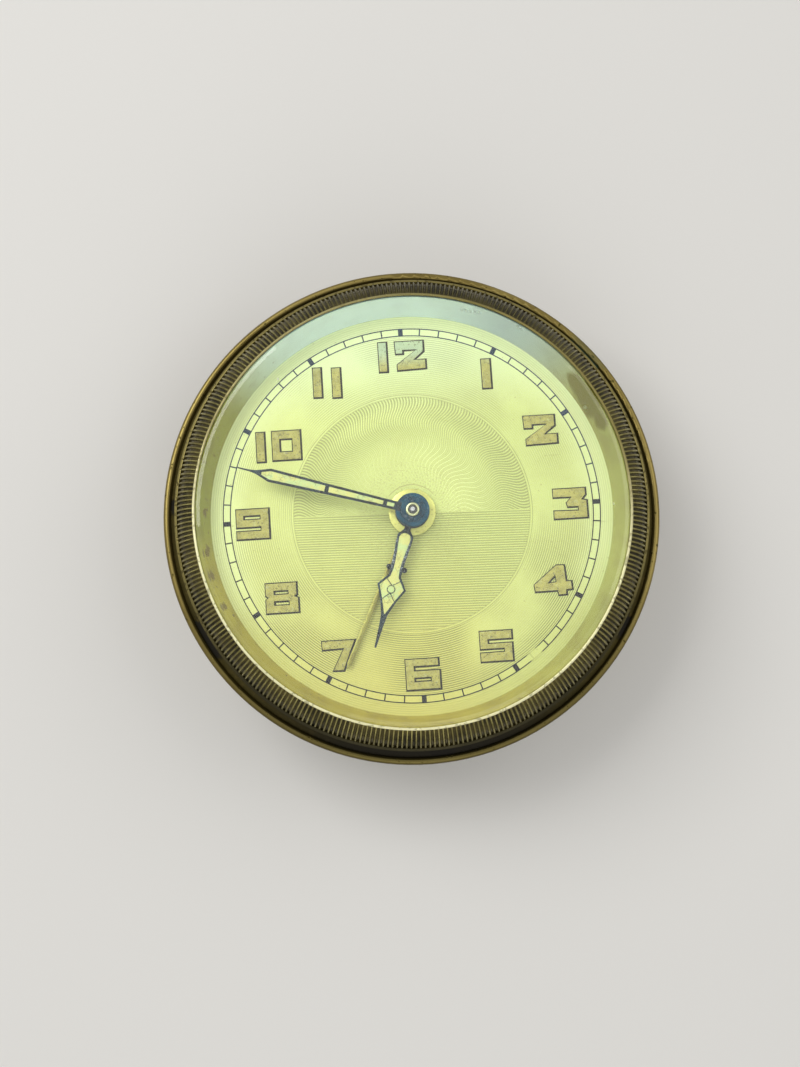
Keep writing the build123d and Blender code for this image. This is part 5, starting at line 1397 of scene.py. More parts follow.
@dataclass(frozen=True)
class PinSteel(Finish):
    """Bright steel of the centre arbor, whose top shows as a small bright pin in a ring of painted shade
    where the collet's gap lies.
    """

    name: str = "pin_steel"
    metallic: float = 0.9
    roughness: Point = (0.2, 0.2)
    bright: Paint = paint(214, 214, 214)
    dark: Paint = paint(52, 50, 44)
    # painted shade of the collet's gap around the pin's top
    ring_radius: Point = (0.27, 0.33)
    painted_gap_shade_height: Point = (23.8, 23.9)
    painted_gap_shade_share: float = 0.85
    specks: Grain = Grain(6.0, 0.6, 0.06)
    speck_share: float = 0.3

    def coat(self, bench: Bench) -> None:
        """Lays the steel, its specks and the painted shade of the collet's gap around the top of the pin.

        Args:
            bench: the material being made.
        """
        wire, place = bench.wire, bench.place
        # painted shade: the rim of the pin's top is dark, standing for the shaded gap in the collet
        ring = wire.times(
            wire.rise(place["Radius"], *self.ring_radius), wire.rise(place["Height"], *self.painted_gap_shade_height)
        )
        specks = bench.specks(self.specks)
        colour = wire.lay(self.bright, self.dark, specks, self.speck_share)
        bench.colour(wire.lay(colour, self.dark, ring, self.painted_gap_shade_share))
        bench.rough(specks, *self.roughness)


@dataclass(frozen=True)
class ClearGlass(Finish):
    """Flat clock glass with a few white scratches. Lamps shine through it."""

    name: str = "clear_glass"
    metallic: float = 0.0
    roughness: Point = (0.02, 0.5)
    clear: Paint = paint(250, 253, 250)
    scratch: Paint = paint(240, 244, 240)
    shadow: Paint = (0.95, 0.96, 0.95, 1.0)
    refraction: float = 1.5
    scratches: tuple = (
        (8.6, 27.2, 25.9, 0.30), (9.1, 27.1, 25.9, 0.22), (9.7, 26.9, 25.9, 0.3), (10.4, 26.8, 25.9, 0.26),
        (11.0, 26.7, 25.9, 0.2), (16.2, 24.4, 25.9, 0.32), (16.6, 24.0, 25.9, 0.2), (-9.6, 27.4, 25.9, 0.14),
        (24.6, 12.4, 25.9, 0.3), (-17.4, 19.0, 25.9, 0.2), (27.4, -1.2, 25.9, 0.2), (-26.6, 13.6, 25.9, 0.22),
    )
    scratch_rag: float = 0.8

    def coat(self, bench: Bench) -> None:
        """Makes the glass, its scratches and the clear way for the lamps.

        Args:
            bench: the material being made.
        """
        wire = bench.wire
        bench.plain("Transmission Weight", 1.0)
        bench.plain("IOR", self.refraction)
        marks = bench.patches(self.scratches, self.scratch_rag)
        bench.rough(marks, *self.roughness)
        bench.colour(wire.blend(marks, self.clear, self.scratch))
        clear = wire.node("BsdfTransparent")
        clear.inputs[0].default_value = self.shadow
        shadow_ray = wire.node("LightPath").outputs["Is Shadow Ray"]
        mixed = wire.shader_mix(shadow_ray, bench.surface.outputs[0], clear.outputs[0])
        wire.feed(bench.material.node_tree.nodes["Material Output"].inputs["Surface"], mixed)


def put_down() -> None:
    """Leaves edit mode and deselects everything."""
    active = bpy.context.view_layer.objects.active
    if active is not None and active.mode != "OBJECT":
        bpy.ops.object.mode_set(mode="OBJECT")
    bpy.ops.object.select_all(action="DESELECT")


def take_up(piece: Piece) -> None:
    """Selects one piece and nothing else.

    Args:
        piece: the piece.
    """
    put_down()
    piece.select_set(True)
    bpy.context.view_layer.objects.active = piece


def closed(piece: Piece, smooth: float) -> Piece:
    """Merges doubled points, turns the faces outwards and smooths the surface.

    Args:
        piece: the piece, in edit mode.
        smooth: angle in degrees under which edges are smooth.

    Returns:
        The piece, in object mode.
    """
    bpy.ops.mesh.select_all(action="SELECT")
    bpy.ops.mesh.remove_doubles(threshold=MERGE)
    bpy.ops.mesh.normals_make_consistent(inside=False)
    bpy.ops.object.mode_set(mode="OBJECT")
    bpy.ops.object.shade_smooth_by_angle(angle=math.radians(smooth))
    return piece


def dress(piece: Piece, *materials: Material) -> None:
    """Gives a piece its materials and no others.

    Args:
        piece: the piece.
        materials: one for each of its material slots.
    """
    piece.data.materials.clear()
    for material in materials:
        piece.data.materials.append(material)


def spun_piece(name: str, points: Sequence[Point], steps: int, smooth: float = 40.0) -> Piece:
    """Turns a closed outline about the clock's axis.

    Args:
        name: the piece's name.
        points: (radius, height) in millimetres.
        steps: faces around the turn.
        smooth: angle in degrees under which edges are smooth.

    Returns:
        The turned piece, in millimetres.
    """
    put_down()
    bpy.ops.mesh.primitive_circle_add(vertices=len(points), radius=1.0, fill_type="NOTHING")
    piece = bpy.context.object
    piece.name = name
    for vertex, (radius, height) in zip(piece.data.vertices, points):
        vertex.co = (radius, 0.0, height)
    bpy.ops.object.mode_set(mode="EDIT")
    bpy.ops.mesh.select_all(action="SELECT")
    bpy.ops.mesh.spin(steps=steps, angle=FULL_TURN, center=(0, 0, 0), axis=(0, 0, 1))
    return closed(piece, smooth)


def flat_piece(name: str, loops: Sequence[Loop], low: float, high: float, edge: float = 0.0) -> Piece:
    """Cuts a flat piece out of sheet, with holes and softened edges.

    Args:
        name: the piece's name.
        loops: outer outlines and holes in millimetres.
        low: height of its underside.
        high: height of its upper side.
        edge: how far its edges are rounded.

    Returns:
        The piece, in millimetres.
    """
    put_down()
    bpy.ops.curve.primitive_bezier_circle_add(radius=1.0)
    drawn = bpy.context.object
    curve = drawn.data
    curve.splines.clear()
    for loop in loops:
        spline = curve.splines.new("POLY")
        spline.points.add(len(loop) - 1)
        for point, (x, y) in zip(spline.points, loop):
            point.co = (x, y, 0.0, 1.0)
        spline.use_cyclic_u = True
    curve.dimensions = "2D"
    curve.fill_mode = "BOTH"
    curve.extrude = (high - low) / 2 - edge
    curve.bevel_depth = edge
    curve.bevel_resolution = 1
    curve.offset = -edge
    bpy.ops.object.convert(target="MESH")
    piece = bpy.context.object
    piece.name = name
    piece.location = (0.0, 0.0, (low + high) / 2)
    bpy.ops.object.transform_apply(location=True, rotation=True, scale=True)
    bpy.ops.object.mode_set(mode="EDIT")
    return closed(piece, 35.0)


def joined(name: str, pieces: Sequence[Piece]) -> Piece:
    """Makes one piece of several.

    Args:
        name: the name of the whole.
        pieces: the parts, of which the first stays.

    Returns:
        The whole.
    """
    take_up(pieces[0])
    for other in pieces[1:]:
        other.select_set(True)
    bpy.ops.object.join()
    whole = bpy.context.object
    whole.name = name
    whole.data.name = name
    return whole


def turned(piece: Piece, degrees: float) -> Piece:
    """Turns a piece clockwise about the clock's axis."""
    piece.data.transform(Matrix.Rotation(math.radians(-degrees), 4, "Z"))
    return piece


def repeated_round(piece: Piece, count: int) -> Piece:
    """Repeats a piece evenly around the clock's axis.

    Args:
        piece: the piece that is modelled once.
        count: how many there are in the whole turn.

    Returns:
        The ring of them as one mesh.
    """
    put_down()
    bpy.ops.object.empty_add(location=(0.0, 0.0, 0.0), rotation=(0.0, 0.0, FULL_TURN / count))
    step = bpy.context.object
    ring = piece.modifiers.new("ring", "ARRAY")
    ring.count = count
    ring.use_relative_offset = False
    ring.use_object_offset = True
    ring.offset_object = step
    take_up(piece)
    bpy.ops.object.modifier_apply(modifier=ring.name)
    bpy.data.objects.remove(step)
    return piece


def grown(loop: Loop, by: float) -> Loop:
    """Moves each side of an outline outwards, and keeps sharp corners from running far out.

    Args:
        loop: the outline, in either direction.
        by: how far, inwards where it is negative.

    Returns:
        The new outline.
    """
    count = len(loop)
    area = sum(loop[i - 1][0] * loop[i][1] - loop[i][0] * loop[i - 1][1] for i in range(count))
    side = 1.0 if area > 0 else -1.0
    grown_loop = []
    for index, (x, y) in enumerate(loop):
        before = Vector(loop[index]) - Vector(loop[index - 1])
        after = Vector(loop[(index + 1) % count]) - Vector(loop[index])
        first = Vector((before.y, -before.x)).normalized() * side
        second = Vector((after.y, -after.x)).normalized() * side
        middle = (first + second).normalized()
        reach = by / max(middle.dot(first), SHARPEST)
        grown_loop.append((x + middle.x * reach, y + middle.y * reach))
    return grown_loop


def circle(radius: float, count: int = 48, centre: Point = (0.0, 0.0)) -> Loop:
    """A round outline."""
    points = [polar(radius, 360 * index / count) for index in range(count)]
    return [(x + centre[0], y + centre[1]) for x, y in points]


def bar(start: Point, end: Point, width: float) -> Loop:
    """A straight bar.

    Args:
        start: the middle of one end.
        end: the middle of the other.
        width: its width.

    Returns:
        Its outline.
    """
    along = (Vector(end) - Vector(start)).normalized()
    across = Vector((-along.y, along.x)) * width / 2
    corners = (Vector(start) + across, Vector(start) - across, Vector(end) - across, Vector(end) + across)
    return [(corner.x, corner.y) for corner in corners]


def finished(piece: Piece, material: Material | None, body: str, slot: str, *nodes: str) -> Piece:
    """Hands a piece to the frame: in metres, dressed, riding, and standing for its nodes.

    Args:
        piece: the piece in millimetres.
        material: its finish, or None where it already has its finishes.
        body: the body that it moves with.
        slot: the record's material slot; not used.
        nodes: CAD nodes that it stands for.

    Returns:
        The piece.
    """
    piece.data.transform(Matrix.Scale(METRE, 4))
    piece.data.update()
    if material is not None:
        dress(piece, material)
    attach(piece, body)
    if nodes:
        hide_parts(*nodes)
    LOG.info("%s: %d faces on %s", piece.name, len(piece.data.polygons), body)
    return piece


@dataclass
class Bezel:
    """Pressed ring over the neck, with its flutes."""

    bore: float = 31.55
    base_radius: float = 33.0
    base_low: float = 22.3
    base_high: float = 22.7
    slope_start: Point = (32.65, 22.8)
    slope_end: Point = (30.05, 26.0)
    crown: float = 0.45
    lip_top: float = 26.1
    opening: float = 29.7
    seat_step: Point = (29.95, 25.9)
    glass_seat: Point = (30.63, 25.22)
    seat_low: float = 24.45
    flutes: int = 318
    flute_depth: float = 0.3
    ridge_top: float = 0.06
    ridge_shoulder: float = 0.16
    ridge_foot: float = 0.25
    ridge_worn: float = 0.225
    ridge_steps: int = 6
    ridge_drops: tuple = (0.02, 0.12, 0.39)
    ridge_shares: Point = (0.035, 0.955)
    lip_round: float = 0.1
    base_round: float = 0.06
    floor_shares: tuple = (0.15, 0.3, 0.45, 0.6, 0.72, 0.84, 0.92)
    shallow_from: float = 0.5
    shallow_by: float = 0.62
    steps: int = 320

    def slope(self, share: float, below: float = 0.0) -> Point:
        """A point on the domed slope.

        Args:
            share: 0 at the base edge and 1 at the lip.
            below: how far under the surface.

        Returns:
            (radius, height) in millimetres.
        """
        start, end = Vector(self.slope_start), Vector(self.slope_end)
        along = (end - start).normalized()
        out = Vector((along.y, -along.x))
        if out.x < 0:
            out = -out
        point = start.lerp(end, share) + out * (self.crown * 4 * share * (1 - share) - below)
        return (point.x, point.y)

    def depth(self, share: float) -> float:
        """How deep the flutes are, which grow shallow toward the lip."""
        past = max(0.0, share - self.shallow_from) / (1.0 - self.shallow_from)
        return self.flute_depth * (1.0 - self.shallow_by * past)

    def build(self) -> None:
        """Models the ring and its flutes and dresses both."""
        metal = BezelBrass().make()
        finished(self.ring(), metal, "case", "bezel_brass", "bezel")
        flutes = repeated_round(self.ridge(metal), self.flutes)
        finished(flutes, None, "case", "bezel_brass")

    def ring(self) -> Piece:
        """The ring, sunk between its base edge and its lip where the flutes lie.

        Returns:
            The ring.
        """
        edge, lip, soft = self.base_round, self.lip_round, 0.03
        outside = [
            (self.bore, self.base_low),
            (self.base_radius - edge, self.base_low),
            (self.base_radius, self.base_low + edge),
            (self.base_radius, self.base_high - edge),
            (self.base_radius - edge, self.base_high),
            self.slope_start,
            self.slope(0.03),
            self.slope(0.045, self.flute_depth),
        ]
        floor = [self.slope(share, self.depth(share)) for share in self.floor_shares]
        top = [
            self.slope(0.985, self.depth(0.985)),
            self.slope(0.995),
            self.slope_end,
            (self.slope_end[0] - 0.04, self.lip_top - soft),
            (self.slope_end[0] - lip, self.lip_top),
            (self.opening + lip, self.lip_top),
            (self.opening + soft, self.lip_top - soft),
            (self.opening, self.lip_top - lip),
            (self.opening, self.seat_step[1]),
            self.seat_step,
            self.glass_seat,
            (self.glass_seat[0], self.seat_low),
            (self.bore, self.seat_low),
        ]
        return spun_piece("bezel_ring", outside + floor + top, self.steps)

    def ridge(self, metal: Material) -> Piece:
        """One ridge between two flutes, at 3 o'clock, with its worn top.

        Args:
            metal: finish of its sides.

        Returns:
            The ridge with both finishes.
        """
        right = list(zip((self.ridge_top, self.ridge_shoulder, self.ridge_foot), self.ridge_drops))
        section = [(-across, below) for across, below in reversed(right)] + right
        put_down()
        bpy.ops.mesh.primitive_circle_add(vertices=len(section), radius=1.0, fill_type="NGON")
        piece = bpy.context.object
        piece.name = "bezel_flutes"
        first_share, whole = self.ridge_shares
        shares = [first_share + whole * step / self.ridge_steps for step in range(self.ridge_steps + 1)]
        for vertex, (across, below) in zip(piece.data.vertices, section):
            radius, height = self.slope(shares[0], below)
            vertex.co = (radius, across, height)
        bpy.ops.object.mode_set(mode="EDIT")
        bpy.ops.mesh.select_all(action="SELECT")
        for before, after in zip(shares, shares[1:]):
            first, second = self.slope(before), self.slope(after)
            step = (second[0] - first[0], 0.0, second[1] - first[1])
            bpy.ops.mesh.extrude_region_move(TRANSFORM_OT_translate={"value": step})
            narrow = second[0] / first[0]
            bpy.ops.transform.resize(value=(1.0, narrow, 1.0))
        bpy.ops.mesh.select_all(action="SELECT")
        bpy.ops.mesh.normals_make_consistent(inside=False)
        dress(piece, metal, FluteRidge().make())
        self.dress_top(piece)
        bpy.ops.object.mode_set(mode="OBJECT")
        bpy.ops.object.shade_smooth_by_angle(angle=math.radians(30))
        return piece

    def dress_top(self, piece: Piece) -> None:
        """Gives the top faces of a ridge the worn finish.

        Args:
            piece: the ridge, in edit mode.
        """
        mesh = bmesh.from_edit_mesh(piece.data)
        for face in mesh.faces:
            wide = max(abs(vertex.co.y) for vertex in face.verts)
            face.material_index = int(wide < self.ridge_worn)
        bmesh.update_edit_mesh(piece.data)


@dataclass
class Glass:
    """Flat glass under the bezel's lip, bevelled at its edge."""

    radius: float = 30.6
    low: float = 24.9
    high: float = 25.9
    bevel_inside: float = 29.0
    bevel_outside: float = 29.66
    bevel_drop: float = 0.16
    seat: Point = (30.06, 25.22)

    def build(self) -> None:
        """Models and dresses the glass."""
        points = [
            (0.0, self.low), (self.radius, self.low), (self.radius, self.seat[1]),
            (self.seat[0], self.high - self.bevel_drop), (self.bevel_outside, self.high - self.bevel_drop),
            (self.bevel_inside, self.high), (0.0, self.high),
        ]
        piece = spun_piece("glass_pane", points, 128, 5.0)
        finished(piece, ClearGlass().make(), "case", "glass", "glass")


@dataclass
class DialPrint:
    """Minute track and raised block numerals on the dial."""

    surface: float = 20.0
    ink_thickness: float = 0.02
    track_outer: float = 26.5
    track_inner: float = 25.5
    track_line: float = 0.15
    tick_width: float = 0.18
    block_width: float = 0.66
    numeral_rise: float = 0.11
    edge_grow: float = 0.09
    edge_shift: Point = (0.075, -0.05)
    paint_inset: float = 0.11
    numeral_soft: float = 0.03
    sunk: float = 0.01
    loop_sides: tuple[int, int, int] = (1, -1, -1)

    ONE = [[(0, 0), (1, 0), (1, 1), (0, 1)]]
    SHAPES = {
        "one": ONE,
        "two": [[(0, 1), (0.95, 1), (0.95, 0.62), (0.64, 0.36), (1, 0.36), (1, 0.03), (0.05, 0), (0.05, 0.22),
                 (0.68, 0.68), (0.28, 0.68), (0.28, 0.56), (0.02, 0.56)]],
        "three": [[(0.01, 1), (0.975, 1), (0.98, 0.76), (0.87, 0.62), (1, 0.59), (1, 0), (0, 0),
                   (0.005, 0.29), (0.72, 0.27), (0.72, 0.37), (0.415, 0.37), (0.38, 0.53), (0.52, 0.69),
                   (0.01, 0.70)]],
        "four": [[(0.607, 1), (0.828, 0.99), (0.859, 0.466), (0.988, 0.458), (1, 0.167), (0.847, 0.155),
                  (0.844, 0.008), (0.623, 0), (0.604, 0.147), (0.018, 0.139), (0, 0.394)],
                 [(0.40, 0.43), (0.564, 0.63), (0.574, 0.45)]],
        "five": [[(0, 1), (1, 1), (1, 0.70), (0.27, 0.70), (0.27, 0.60), (1, 0.60), (1, 0), (0, 0), (0, 0.31),
                  (0.73, 0.32), (0.73, 0.40), (0, 0.40)]],
        "six": [[(0, 1), (0.97, 1), (0.97, 0.74), (0.27, 0.74), (0.27, 0.62), (1, 0.62), (1, 0), (0, 0)],
                [(0.27, 0.37), (0.72, 0.37), (0.72, 0.28), (0.27, 0.28)]],
        "seven": [[(0, 1), (1, 1), (0.625, 0), (0.29, 0.01), (0.625, 0.71), (0.01, 0.69)]],
        "eight": [[(0, 1), (0.96, 1), (0.96, 0.58), (0.90, 0.54), (1, 0.49), (1, 0), (0, 0), (0, 0.46),
                   (0.07, 0.52), (0, 0.58)],
                  [(0.28, 0.72), (0.68, 0.72), (0.68, 0.63), (0.28, 0.63)],
                  [(0.28, 0.38), (0.70, 0.38), (0.70, 0.28), (0.28, 0.28)]],
        "nine": [[(0, 1), (1, 1), (1, 0), (0, 0), (0, 0.29), (0.73, 0.29), (0.73, 0.385), (0, 0.385)],
                 [(0.25, 0.755), (0.72, 0.755), (0.72, 0.66), (0.25, 0.66)]],
        "zero": [[(0, 0), (1, 0), (1, 1), (0, 1)], [(0.29, 0.30), (0.69, 0.30), (0.69, 0.70), (0.29, 0.70)]],
    }
    HOURS = {
        12: [("one", -2.75, 22.56, 1.3, 4.4), ("two", 1.16, 22.59, 4.39, 4.3)],
        1: [("one", 11.80, 19.31, 1.4, 4.35)],
        2: [("two", 18.85, 10.71, 4.79, 4.3)],
        3: [("three", 22.26, -0.02, 4.85, 4.35)],
        4: [("four", 18.99, -10.71, 5.4, 4.3)],
        5: [("five", 10.45, -19.32, 4.6, 4.35)],
        6: [("six", 0.03, -22.55, 4.85, 4.35)],
        7: [("seven", -11.4, -19.29, 4.75, 4.3)],
        8: [("eight", -18.87, -10.79, 4.65, 4.3)],
        9: [("nine", -22.41, -0.18, 4.7, 4.35)],
        10: [("one", -20.76, 10.65, 1.3, 4.35), ("zero", -17.11, 10.71, 4.15, 4.3)],
        11: [("one", -12.25, 19.44, 1.3, 4.4), ("one", -9.54, 19.28, 1.35, 4.4)],
    }

    def build(self) -> None:
        """Models and dresses the track and the twelve numerals."""
        ink = BlueBlackInk().make()
        finished(self.track(), ink, "case", "dial_gilt")
        paint_coat, edge = NumeralPaint().make(), NumeralEdge().make()
        for hour, marks in self.HOURS.items():
            finished(self.numeral(hour, marks, paint_coat, edge), None, "case", "filling")

    def track(self) -> Piece:
        """Two rings, the minute ticks and the blocks at the hours.

        Returns:
            The track.
        """
        low, high = self.surface - self.sunk, self.surface + self.ink_thickness
        half = self.track_line / 2
        rings = [
            flat_piece("ring", [circle(radius + half, 360), circle(radius - half, 360)], low, high)
            for radius in (self.track_outer, self.track_inner)
        ]
        tick = bar((0.0, self.track_inner), (0.0, self.track_outer), self.tick_width)
        ticks = repeated_round(flat_piece("tick", [tick], low, high - 0.002), 60)
        block = bar((0.0, self.track_inner - half), (0.0, self.track_outer + half), self.block_width)
        blocks = repeated_round(flat_piece("block", [block], low, high + 0.01, 0.004), 12)
        return joined("dial_track", [*rings, ticks, blocks])

    def numeral(self, hour: int, marks: Sequence[tuple], coat: Material, edge: Material) -> Piece:
        """One hour's numeral: a raised block of paint on a slightly larger dark edge.

        Args:
            hour: the hour that it stands for.
            marks: (shape, centre x, centre y, width, height) for each figure.
            coat: finish of the paint.
            edge: finish of the dark edge.

        Returns:
            The numeral with both finishes.
        """
        parts = []
        low, (aside, down) = self.surface - self.sunk, self.edge_shift
        for shape, x, y, width, height in marks:
            loops = [
                ([(x + (u - 0.5) * width, y + (v - 0.5) * height) for u, v in loop], side)
                for loop, side in zip(self.SHAPES[shape], self.loop_sides)
            ]
            coated = [grown(loop, -side * self.paint_inset) for loop, side in loops]
            raised = flat_piece("raised", coated, low, self.surface + self.numeral_rise, self.numeral_soft)
            dress(raised, coat)
            wider = [grown(loop, side * self.edge_grow) for loop, side in loops]
            under = [[(across + aside, up + down) for across, up in loop] for loop in wider]
            rim = flat_piece("rim", under, low, self.surface + self.ink_thickness)
            dress(rim, edge)
            parts += [raised, rim]
        return joined(f"numeral_{hour}", parts)


@dataclass
class HandBlank:
    """Sizes that all hands share."""

    thickness: float = 0.2
    frame: float = 0.36
    edge: float = 0.05
    hub_thickness: float = 0.5
    hub_round: float = 0.08
    filling_thickness: float = 0.14
    filling_round: float = 0.02
    filling_grown: float = 0.01
    steps: int = 72

    def hub(self, radius: float, bore: float, level: float) -> Piece:
        """The turned hub of a hand.

        Args:
            radius: its outside.
            bore: its hole.
            level: the blade's underside.

        Returns:
            The hub with softened edges.
        """
        low = level - (self.hub_thickness - self.thickness) / 2
        high = low + self.hub_thickness
        soft = self.hub_round
        points = [
            (bore, low), (radius - soft, low), (radius, low + soft), (radius, high - soft),
            (radius - 0.3 * soft, high - 0.3 * soft), (radius - soft, high),
            (bore + soft, high), (bore, high - soft),
        ]
        return spun_piece("hub", points, self.steps)


def outline(points: Sequence[Point]) -> Loop:
    """Full outline from (half width, distance) points of its right side."""
    return [(half, reach) for half, reach in points] + [(-half, reach) for half, reach in reversed(points)]


def width_at(points: Sequence[Point], reach: float) -> float:
    """Half width of an outline at one place.

    Args:
        points: (half width, distance) points of its right side.
        reach: distance from the axis.

    Returns:
        The half width there.
    """
    for (low_half, low), (high_half, high) in zip(points, points[1:]):
        if low <= reach <= high:
            return low_half + (high_half - low_half) * (reach - low) / (high - low)
    return points[-1][0]


@dataclass
class MinuteHand(HandBlank):
    """Skeleton minute hand with two crossbars, its filling and its collet."""

    angle: float = 287.2
    level: float = 23.3
    hub_radius: float = 2.35
    step_radius: float = 1.7
    step_drop: float = 0.2
    bore: float = 0.72
    bars: tuple[float, float] = (3.9, 12.2)
    bar_width: float = 0.55
    window: Point = (2.6, 21.5)
    shape: tuple = (
        (0.60, 1.5), (0.62, 3.9), (0.76, 12.2), (0.95, 20.3), (0.26, 22.3), (0.13, 23.2), (0.08, 25.1),
    )
    collet_radius: float = 0.94
    collet_bore: float = 0.5
    collet_low: float = 23.65
    collet_high: float = 24.0

    def openings(self, sink: float = 0.0) -> list[Loop]:
        """The openings between the frame and the crossbars.

        Args:
            sink: how far each is grown under the frame.

        Returns:
            Their outlines.
        """
        half = self.bar_width / 2
        ends = [self.window[0], self.bars[0] - half, self.bars[0] + half, self.bars[1] - half,
                self.bars[1] + half, self.window[1]]
        loops = []
        for low, high in zip(ends[::2], ends[1::2]):
            reaches = [low] + [reach for _, reach in self.shape if low < reach < high] + [high]
            inside = [width_at(self.shape, reach) - self.frame for reach in reaches]
            halves = [max(half, self.frame / 4) + sink for half in inside]
            loops.append(outline(list(zip(halves, reaches))))
        return loops

    def build(self) -> None:
        """Models and dresses the hand, its filling and its collet."""
        steel = BluedSteel("minute_hand_steel").make()
        loops = [outline(self.shape), *self.openings()]
        blade = flat_piece("blade", loops, self.level, self.level + self.thickness, self.edge)
        hub = self.stepped_hub()
        dress(blade, steel)
        dress(hub, HUB_BLUE.make())
        hand = joined("minute_hand_blade", [blade, hub])
        finished(turned(hand, self.angle), None, "minute_hand", "blue_steel", "minute_hand")
        top = self.level + self.filling_thickness
        openings = self.openings(self.filling_grown)
        filling = flat_piece("minute_hand_paint", openings, self.level, top, self.filling_round)
        turned(filling, self.angle)
        finished(filling, HandPaint().make(), "minute_hand", "filling", "minute_hand_filling")
        finished(self.collet(), COLLET_BRASS.make(), "minute_hand", "plate_brass", "minute_hand_collet")

    def stepped_hub(self) -> Piece:
        """The hub: a wide thin disc with a smaller one on it.

        Returns:
            The hub.
        """
        low = self.level - (self.hub_thickness - self.thickness) / 2
        high = low + self.hub_thickness
        mid = high - self.step_drop
        wide, small, soft, top_soft, fillet = self.hub_radius, self.step_radius, 0.06, 0.05, 0.03
        points = [
            (self.bore, low), (wide - soft, low), (wide, low + soft), (wide, mid - soft), (wide - soft, mid),
            (small + fillet, mid), (small, mid + fillet), (small, high - top_soft), (small - top_soft, high),
            (self.bore, high),
        ]
        return spun_piece("hub", points, self.steps)

    def collet(self) -> Piece:
        """The turned collet, hollowed around the pin.

        Returns:
            The collet.
        """
        low, high, out, bore = self.collet_low, self.collet_high, self.collet_radius, self.collet_bore
        points = [
            (bore, low), (out, low), (out, high - 0.1), (out - 0.04, high - 0.03), (out - 0.1, high),
            (bore + 0.16, high), (bore + 0.1, high - 0.06), (bore, high - 0.3),
        ]
        return spun_piece("hand_collet", points, 64)


@dataclass
class HourHand(HandBlank):
    """Skeleton hour hand with a small ring held by four thin bars in its diamond."""

    angle: float = 198.8
    level: float = 21.75
    hub_radius: float = 2.4
    bore: float = 1.25
    shape: tuple = (
        (0.38, 1.5), (0.46, 2.75), (1.14, 3.6), (1.1, 4.7), (0.9, 7.3), (0.86, 9.3), (2.05, 11.0),
        (1.12, 12.9), (0.44, 15.0), (0.30, 16.5), (0.13, 19.6),
    )
    window: tuple = (
        (0.20, 3.25), (0.62, 3.45), (0.82, 3.9), (0.74, 4.7), (0.46, 7.3), (0.44, 8.4), (0.58, 9.5),
        (1.72, 11.0), (0.84, 12.9), (0.06, 14.8),
    )
    ring_distance: float = 11.3
    ring_radius: float = 0.6
    ring_width: float = 0.14
    bar_ends: tuple = ((1.30, -0.98), (1.05, 1.20))
    knob_distance: float = 8.3
    knob_offset: float = 1.1
    knob_radius: float = 0.38

    def build(self) -> None:
        """Models and dresses the hand and its filling."""
        steel, black, worn = (finish.make() for finish in (HOUR_STEEL, KNOB_STEEL, WORN_STEEL))
        top = self.level + self.thickness
        blade = flat_piece("blade", [outline(self.shape), outline(self.window)], self.level, top, self.edge)
        knobs = self.knobs()
        hub = self.hub(self.hub_radius, self.bore, self.level)
        ring, *bars = self.crossing()
        inner, outer = bars[:2], bars[2:]
        for parts, material in (((blade, hub, *outer), steel), (knobs, black), ((ring, *inner), worn)):
            for part in parts:
                dress(part, material)
        hand = joined("hour_hand_blade", [blade, hub, *knobs, ring, *inner, *outer])
        finished(turned(hand, self.angle), None, "hour_hand", "blue_steel", "hour_hand")
        window = grown(outline(self.window), self.filling_grown)
        top = self.level + self.filling_thickness
        filling = flat_piece("hour_hand_paint", [window], self.level, top, self.filling_round)
        turned(filling, self.angle)
        finished(filling, HandPaint().make(), "hour_hand", "filling", "hour_hand_filling")

    def crossing(self) -> list[Piece]:
        """The ring in the diamond and its bars.

        Returns:
            The ring, the two bars toward the hub and the two toward the tip.
        """
        centre = (0.0, self.ring_distance)
        inner = self.ring_radius - self.ring_width
        top = self.level + self.thickness
        loops = [circle(self.ring_radius, 36, centre), circle(inner, 36, centre)]
        pieces = [flat_piece("ring", loops, self.level, top - 0.01, 0.03)]
        for across, along in self.bar_ends:
            start = (0.0, centre[1] + math.copysign(self.ring_radius - self.ring_width / 2, along))
            for side in (-1, 1):
                line = self.clipped(bar(start, (side * across, start[1] + along), self.ring_width))
                pieces.append(flat_piece("bar", [line], self.level, top - 0.02 - 0.003 * side, 0.03))
        return pieces

    def clipped(self, line: Loop) -> Loop:
        """A crossing bar that ends under the blade's frame.

        Args:
            line: the bar's outline.

        Returns:
            The outline within the frame.
        """
        kept = []
        for x, y in line:
            limit = width_at(self.shape, y) - self.edge
            kept.append((max(-limit, min(limit, x)), y))
        return kept

    def knobs(self) -> list[Piece]:
        """The two round knobs on the waist.

        Returns:
            The knobs.
        """
        top = self.level + self.thickness
        return [
            flat_piece(
                "knob", [circle(self.knob_radius, 24, (side * self.knob_offset, self.knob_distance))],
                self.level, top - 0.005, 0.05,
            )
            for side in (-1, 1)
        ]


@dataclass
class AlarmHand(HandBlank):
    """Plain brass alarm hand on its wide boss."""

    angle: float = 206.0
    level: float = 20.6
    hub_radius: float = 3.3
    bore: float = 1.95
    shape: tuple = ((0.34, 1.5), (0.34, 22.8), (0.10, 23.6))

    def build(self) -> None:
        """Models and dresses the hand."""
        top = self.level + self.thickness
        blade = flat_piece("blade", [outline(self.shape)], self.level, top, 0.06)
        hand = joined("alarm_hand_blade", [blade, self.hub(self.hub_radius, self.bore, self.level)])
        finished(turned(hand, self.angle), AlarmBrass().make(), "alarm_hand", "alarm_brass", "alarm_hand")


